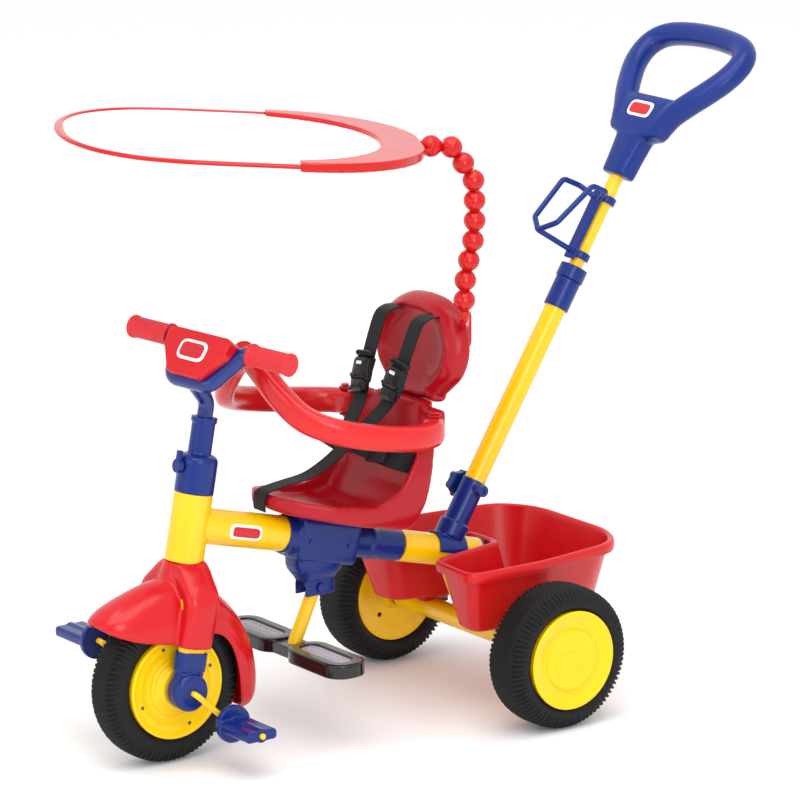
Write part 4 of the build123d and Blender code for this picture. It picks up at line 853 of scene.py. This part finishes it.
# %% Belly of the beam housing
BOSS_Y = -290
BELLY = [(270, 45, 27.5), (256, 45, 27.5), (248, 42, 26.5), (241, 37, 23.5), (236, 33, 20), (231, 31, 17.5)]
sections = [[at(x, BOSS_Y + y, z) for x, y in oval(half_x, half_y, 3.6, 40)] for z, half_y, half_x in BELLY]
piece("housing_belly", softened([], 1.8, 6, [skin("belly", sections)]), BLUE, "frame", "blue_plastic")

# %% [markdown]
# ## Fender
# The fender is one glossy hood: a visor over the front of the wheel, a blade down its back, and
# two shoulders that sleeve the fork's legs below the head tube. The hood is a row of arches with
# a thin wall, the shoulders are swept ovals, and one remeshed skin joins them with soft valleys.

# %% Fender hood
HOOD_ARCHES = [
    # half width, crown behind the axle line and height, edge behind and height
    (6, (-687, 228), (-686, 226)), (20, (-684, 232), (-681, 221)), (33, (-675, 239), (-668, 213)),
    (41, (-660, 248), (-650, 206)), (46, (-638, 257), (-628, 199)), (48, (-612, 266), (-600, 193)),
    (49, (-585, 273), (-578, 189)), (49, (-555, 276), (-548, 188)), (48, (-525, 272), (-524, 190)),
    (47, (-495, 256), (-503, 192)), (46, (-466, 232), (-487, 184)), (44, (-440, 200), (-472, 165)),
    (42, (-421, 162), (-462, 138)), (39, (-412, 122), (-456, 112)), (35, (-411, 88), (-452, 92)),
    (28, (-418, 66), (-446, 76)), (12, (-430, 56), (-438, 62))]
ARCH_STEPS = 24
grid = []
for half, crown, edge in HOOD_ARCHES:
    row = []
    for k in range(ARCH_STEPS + 1):
        u = -1 + 2 * k / ARCH_STEPS
        lift = cos(u * pi / 2) ** 0.75 if abs(u) < 1 else 0
        row.append(Vector((half * sin(u * pi / 2), edge[0] + (crown[0] - edge[0]) * lift,
                           edge[1] + (crown[1] - edge[1]) * lift)))
    grid.append(row)
columns = [smooth_line([row[k] for row in grid], 4) for k in range(ARCH_STEPS + 1)]
points = [at(*p) for column in columns for p in column]
length = len(columns[0])
faces = [(k * length + i, k * length + i + 1, (k + 1) * length + i + 1, (k + 1) * length + i)
         for k in range(ARCH_STEPS) for i in range(length - 1)]
solids = [baked(build("hood", points, faces), [("SOLIDIFY", {"thickness": 0.0038, "offset": 0.0})])]

# %% Fender shoulders and collar
SHOULDER_PATH = [(5, -13), (21, -17), (39, -33), (55.5, -50), (58.5, -70), (57, -95), (56, -122)]
head_place = slanted(HEAD_FOOT, ACROSS, (0, sin(HEAD_TILT), cos(HEAD_TILT)))
for side, _ in SIDES:
    path = smooth_line([head_place(side * x, 1.5, z) for x, z in SHOULDER_PATH], 6)
    solids.append(swept("shoulder", path, lambda t: oval(18 - 2.5 * t, 29 - 2 * t, 2.8, 32), (0, 1, 0)))
COLLAR = [(-4.5, 0.02), (-4.5, 29.5), (-26, 33), (-52, 41), (-52, 0.02)]
solids.append(turned("collar", rounded(COLLAR, 4, 3), lambda along, a, b: head_place(a, b, along), 48))
piece("fender_hood", softened([], 1.9, 10, solids), FENDER_RED, "steering", "fender_plastic", ["fender"])

# %% [markdown]
# ## Push handle
# The handle is blow moulded: one loop of thick rounded bar that widens into a wedge over the
# pole. The loop is an oval swept round a closed line that leans back at the top, the wedge is a
# stack of rounded sections, and the remeshed skin blends the two as the mould does.

# %% Push handle
POLE_ALONG, POLE_BEHIND = Vector((0, 0.531399, 0.847122)), Vector((0, 0.847122, -0.531399))
HANDLE_FOOT = 619
pole_at = slanted((0, -39.8, 251.2), ACROSS, POLE_ALONG)


def handle_point(x, v, out=0.0):
    """Point of the handle: across, up from its foot, and behind its curved middle surface."""
    bend = 0.17 * (v - 120 + sqrt((v - 120) ** 2 + 400))
    return pole_at(x, bend + out, HANDLE_FOOT + v)


half_loop = [(42, 88), (57, 113), (75, 138), (94, 166), (109, 194), (114, 222), (106, 243), (84, 257), (44, 264)]
outline = half_loop + [(0, 266)] + [(-x, v) for x, v in reversed(half_loop)] + [(0, 74)]
loop = smooth_line([handle_point(x, v) for x, v in outline], 7, closed=True)
rings = []
for i, point in enumerate(loop):
    ahead = (loop[(i + 1) % len(loop)] - loop[i - 1]).normalized()
    out = (POLE_BEHIND - ahead * POLE_BEHIND.dot(ahead)).normalized()
    side = ahead.cross(out)
    rings.append([point + (side * a + out * b) / 1000 for a, b in oval(18.5, 17.5, 2.3, 28)])
WEDGE = [(0, 24, 17), (3, 26, 18.5), (30, 27.5, 19), (60, 31, 19.5), (67, 33, 19.5), (72, 56, 18), (80, 63, 18),
         (96, 66, 18), (112, 68, 17.5), (128, 66, 16.5), (138, 60, 14)]
sections = [[handle_point(x, v, y) for x, y in oval(half, deep, 4.0, 40)] for v, half, deep in WEDGE]
piece("push_handle", softened([], 2.0, 11, [skin("loop", rings, closed=True), skin("wedge", sections)]),
      HANDLE_BLUE, "pole_top", "handle_plastic", ["handle_shell_front", "handle_shell_back"])

# %% [markdown]
# ## Harness
# Five straps of flat webbing, 30 mm wide and 1.7 mm thick, meet at a hub. Webbing bends one way
# only, so each is a ribbon laid along its line, with its weave on a UV map that runs in metres.

# %% Ribbons
def ribbon(name, points, across=ACROSS, half=15.0, high=0.85):
    """Strap along a line in mm; its flat side lies along across. Half width and half thickness in mm."""
    line = smooth_line([at(*p) for p in points], 10)
    edge = [(half, high), (half + 0.3, 0), (half, -high), (half / 2, -high), (0, -high), (-half / 2, -high)]
    section = [(-s, -h) for s, h in edge] + edge
    rings, weave, run = [], [], 0.0
    for i, point in enumerate(line):
        ahead = (line[min(i + 1, len(line) - 1)] - line[max(i - 1, 0)]).normalized()
        side = Vector(across)
        side = (side - ahead * side.dot(ahead)).normalized()
        outwards = side.cross(ahead).normalized()
        run += (point - line[i - 1]).length if i else 0
        weave += [(s / 1000, run) for s, _ in section]
        rings.append([point + (side * s + outwards * h) / 1000 for s, h in section])
    return skin(name, rings, sharp=50, weave=weave)


SHOULDER = [(46, -98, 616.6), (46, -115, 616.4), (46, -131, 607), (44.5, -146, 574), (41, -165, 524),
            (33, -180, 488), (17, -214, 452)]
LAP = [(86.4, -166, 405), (75, -190, 413), (48, -211, 424), (19, -226, 434)]
CROTCH = [(0, -388.6, 352), (0, -389.6, 366), (0, -386, 378), (0, -374, 382.6), (0, -340, 387),
          (0, -300, 392), (0, -266, 406), (0, -236, 424)]
straps = [ribbon("strap", [(side * x, y, z) for x, y, z in SHOULDER]) for side, _ in SIDES]
piece("harness_shoulder", joined("shoulder", straps), WEBBING, "frame", "webbing", ["shoulder_straps"])
straps = [ribbon("strap", [(side * x, y, z) for x, y, z in LAP], (side * 0.1, 0.55, 1)) for side, _ in SIDES]
piece("harness_lap", joined("lap", straps), WEBBING, "frame", "webbing", ["lap_straps"])

# %% Side-release clips
def clip(name, place):
    """Buckle and adjuster on a strap: a body, its two prongs' cover, a ladder bar and a plain mark."""
    parts = [plaque("body", lambda x, y, out: place(x, y + 6, out), 38, 34, 6.5, 7, 1.2),
             plaque("socket", lambda x, y, out: place(x, y - 20, out), 33, 20, 5, 5, 0.8),
             plaque("ladder", lambda x, y, out: place(x, y + 29, out), 38, 9, 6, 3)]
    for x in (-17.5, 17.5):
        parts.append(plaque("release", lambda u, v, out: place(u + x, v - 6, out - 1), 6, 15, 6, 2.6))
    piece(name, joined("clip", parts), BLACK, "frame", "buckle_plastic")
    piece(name + "_mark", plaque("mark", lambda x, y, out: place(x, y + 13, out + 8.2), 13, 5, 0.4, 2),
          BADGE_WHITE, "frame", "buckle_plastic")


for side, word in SIDES:
    chest = slanted((side * 41, -171, 524), (1, 0, side * -0.12), (0, -0.93, 0.34))
    clip(f"chest_clip_{word}", lambda x, y, out: chest(x, y, out + 1))
piece("harness_crotch", ribbon("crotch", CROTCH), WEBBING, "frame", "webbing", ["crotch_strap"])

# %% [markdown]
# ## Sun canopy
# A thick Y-shaped frame holds a thin rim, and white cloth is stretched in it like a drum. The
# rim is a rod swept round the edge, swelling at the tip. The cloth is one sheet: an even disc of
# rings that sinks a few millimetres in the middle, with a hem and its stitches near the edge.

# %% Canopy plane
CANOPY_AT = Vector((92.2289, -155.947, 889.812))
CANOPY_AHEAD = Vector((-0.461931, -0.883592, 0.076719))
CANOPY_SIDE = Vector((0.886204, -0.463296, 0))
CANOPY_UP = Vector((0.035544, 0.067989, 0.997053))


def on_canopy(ahead, side, high):
    return at(*(CANOPY_AT + CANOPY_AHEAD * ahead + CANOPY_SIDE * side + CANOPY_UP * high))


def rounded_end(near, far, half, corner, steps=14):
    """Outline of the cloth: a rectangle with large quarter circles, walked once round."""
    result = []
    for cx, cy, first in ((far - corner, half - corner, 0), (near + corner, half - corner, 90),
                          (near + corner, -half + corner, 180), (far - corner, -half + corner, 270)):
        for k in range(steps + 1):
            angle = radians(first + 90 * k / steps)
            result.append((cx + corner * cos(angle), cy + corner * sin(angle)))
    return result


# %% Rim rod
half_rim = [(203, 210.4), (260, 210.4), (330, 210), (388, 205), (443, 187), (492, 144), (522, 86), (532, 30)]
line = smooth_line([on_canopy(s, t, 0) for s, t in half_rim + [(s, -t) for s, t in reversed(half_rim)]], 8)
rim = swept("rim", line, lambda t: oval(3.9 + 3.4 * exp(-((t - 0.5) / 0.1) ** 2), 3.5, 2.3, 20), CANOPY_UP)
piece("canopy_rim", rim, CANOPY_RED, "canopy", "canopy_wire", ["canopy_hoop"])

# %% Cloth
CLOTH_CENTRE, CLOTH_SAG = 296.0, 4.5
SIZES = [1.0, 0.985, 0.97, 0.94, 0.9, 0.82, 0.7, 0.55, 0.38, 0.2, 0.05]
edge = rounded_end(58.6, 533.5, 208, 188, 24)


def cloth_ring(size, level):
    """The edge shrunk towards the middle, on the cloth's upper (1) or lower (-1) face, in mm."""
    ring = []
    for i, (s, t) in enumerate(edge):
        pull = 0.5 * sin(i * 1.9) * size ** 6 * (1 - size) * 6
        sag = -CLOTH_SAG * (1 - size ** 2) + pull
        hem = 0.35 if size > 0.96 else 0.0
        ring.append((CLOTH_CENTRE + (s - CLOTH_CENTRE) * size, t * size, sag + level * (0.35 + hem)))
    return ring


rings = [cloth_ring(size, 1) for size in reversed(SIZES)] + [cloth_ring(size, -1) for size in SIZES]
cloth_mesh = skin("cloth", [[on_canopy(*p) for p in ring] for ring in rings],
                  weave=[(p[0] / 1000, p[1] / 1000) for ring in rings for p in ring])
cloth = piece("sun_cloth", cloth_mesh, CLOTH, "canopy", "canopy_cloth", ["canopy_fabric"])

# %% Hem stitches
HEM = 0.955
stitch = skin("stitch", [[Vector(p) / 1000 for p in ring] for ring in (
    [(-1.5, -0.3, 0), (-1.5, 0.3, 0), (-1.5, 0, 0.3)], [(0, -0.35, 0.1), (0, 0.35, 0.1), (0, 0, 0.6)],
    [(1.5, -0.3, 0), (1.5, 0.3, 0), (1.5, 0, 0.3)])])
hem_line = [on_canopy(CLOTH_CENTRE + (s - CLOTH_CENTRE) * HEM, t * HEM, 0.35 - CLOTH_SAG * (1 - HEM ** 2))
            for s, t in edge]
wire = bpy.data.meshes.new("hem line")
wire.from_pydata([tuple(p) for p in hem_line], [(i, (i + 1) % len(edge)) for i in range(len(edge))], [])
stitches = repeated(wire, LINE, stitch, THREAD, {"Pitch": 0.006})
if not stitches.uv_layers:
    stitches.uv_layers.new(name="weave")
piece("hem_stitches", stitches, THREAD, "canopy", "canopy_cloth")

# %% [markdown]
# ## Bead neck
# The canopy's arm is a chain of hard plastic beads on a bent wire. Each bead is turned: a ball
# with a flat at each end, a parting line round its middle and a short collar.

# %% Beads
BEAD_PLACES = [(122.0, -99.0, 654.0), (122.7, -97.6, 684.4), (125.2, -92.9, 714.3), (128.1, -87.3, 744.0),
               (129.3, -85.0, 774.3), (129.3, -85.0, 804.7), (128.6, -86.4, 835.1), (121.6, -99.8, 861.4),
               (113.3, -115.7, 886.0), (99.3, -142.5, 888.6)]
BEAD_LEANS = [-1.5, -6.5, -11, -8.5, -2.5, 1.5, 16.5, 33, 60, 85.3]
BEAD_PROFILE = [(-15, 0.02), (-15, 7.6), (-13.4, 9.4), (-10.2, 13.0), (-5.4, 15.7), (-0.9, 16.5), (-0.5, 15.9),
                (0.5, 15.9), (0.9, 16.5), (5.4, 15.7), (10.2, 13.0), (13.4, 9.4), (15, 7.6), (15, 0.02)]
for link in range(5):
    beads = []
    for k in (2 * link, 2 * link + 1):
        tip = radians(BEAD_LEANS[k])
        axis = (-0.463296 * sin(tip), -0.886204 * sin(tip), cos(tip))
        spot = slanted(BEAD_PLACES[k], CANOPY_SIDE, axis)
        beads.append(turned("bead", BEAD_PROFILE, lambda along, a, b: spot(a, b, along), 48, 35))
    piece(f"neck_beads_{link + 1}", joined("beads", beads), CANOPY_RED, f"gooseneck_{link + 1}", "neck_plastic",
          [f"gooseneck_link_{link + 1}"])

# %% [markdown]
# ## Grips
# Soft sleeves pushed on the bar, with a flange at the inner end, fine ribs round the middle and
# a domed end. The sleeve is turned, and the ribs are copies in a row.

# %% Grip sleeves and ribs
GRIP_Y, GRIP_Z = -8.3, 319
SLEEVE = [(78, 12.9), (78, 18), (83, 18), (84.5, 15.4), (147, 15.4), (149, 17.4), (154, 17.4), (155, 15),
          (155, 0.02), (152, 0.02), (152, 12.9)]
rib = turned("rib", rounded([(-1.3, 14.8), (-0.6, 15.9), (0.6, 15.9), (1.3, 14.8)], 0.5, 2),
             lambda along, a, b: Vector((along, a, b)) / 1000, 36)
sleeves = []
for side, _ in SIDES:
    sleeves.append(turned("sleeve", mirrored(rounded(SLEEVE, 1.4, 3), side),
                          lambda along, a, b: on_bar(along, GRIP_Y + a, GRIP_Z + b), 56))
    sleeves.append(row_of(on_bar(side * 88, GRIP_Y, GRIP_Z), on_bar(side * 144.5, GRIP_Y, GRIP_Z), 0.0045,
                          rib, GRIP_RED))
piece("soft_grips", joined("grips", sleeves), GRIP_RED, "handlebar", "grip_rubber", ["grips"])

# %% [markdown]
# ## Badges and foot inserts
# Plain plaques mark the bar cover, the push handle and the beam: a white plate with a red field.
# The foot plates have grey panels with raised dots, so that a small shoe doesn't slip.

# %% Badges
COVER_AT = Vector((0, -36, 302))
COVER_UP, COVER_OUT = Vector((0, 0.4392, 0.8984)), Vector((0, -0.8984, 0.4392))
BEAM_TILT, BEAM_RADIUS, BADGE_Y, BADGE_Z = radians(14.3), 27.3, -432, 330.6168


def badge(name, place, width, height, body):
    piece(f"{name}_plate", plaque("plate", place, width, height, 1.2, height * 0.4), BADGE_WHITE, body,
          "red_plastic")
    field = plaque("field", lambda x, y, out: place(x, y, out + 1.3), width - 9, height - 9, 0.5, height * 0.28)
    piece(f"{name}_field", field, BADGE_RED, body, "red_plastic")


def on_cover(x, y, out):
    spot = COVER_AT + COVER_UP * (y + 3) + COVER_OUT * (out + 16.2)
    return on_bar(x, spot.y, spot.z)


def on_beam(x, y, out):
    """On the left flank of the beam, following its round: x runs to the rear, y upwards."""
    angle = y / BEAM_RADIUS
    along = BADGE_Y + x * cos(BEAM_TILT) + BEAM_RADIUS * sin(angle) * sin(BEAM_TILT)
    height = BADGE_Z - x * sin(BEAM_TILT) + BEAM_RADIUS * sin(angle) * cos(BEAM_TILT)
    return at((BEAM_RADIUS + 0.1 + out) * cos(angle), along, height)


badge("cover_badge", on_cover, 52, 32, "handlebar")
badge("handle_badge", lambda x, y, out: handle_point(x, 110 + y, -17.4 - out), 54, 27, "pole_top")
badge("beam_badge", on_beam, 58, 24, "frame")

# %% Foot inserts with dots
foot_low, foot_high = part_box("footrest_platforms")
foot_y = (foot_low[1] + foot_high[1]) / 2
dot = turned("dot", [(0, 0.02), (0, 2.2), (0.7, 1.8), (1.1, 0.9), (1.2, 0.02)], lying, 10)
for side, word in SIDES:
    centre_x = MIDDLE_X + side * 0.087

    def on_foot(x, y, out):
        return Vector((centre_x + x / 1000, foot_y + y / 1000, foot_high[2] + (out - 3.2) / 1000))
    dots = [row_of(on_foot(-40, y, 1.2), on_foot(40, y, 1.2), 0.01, dot, INSERT_GREY) for y in (-7, 7)]
    piece(f"foot_insert_{word}", joined("insert", [plaque("insert", on_foot, 104, 30, 1.4, 13)] + dots),
          INSERT_GREY, "footrest", "footrest_plastic")
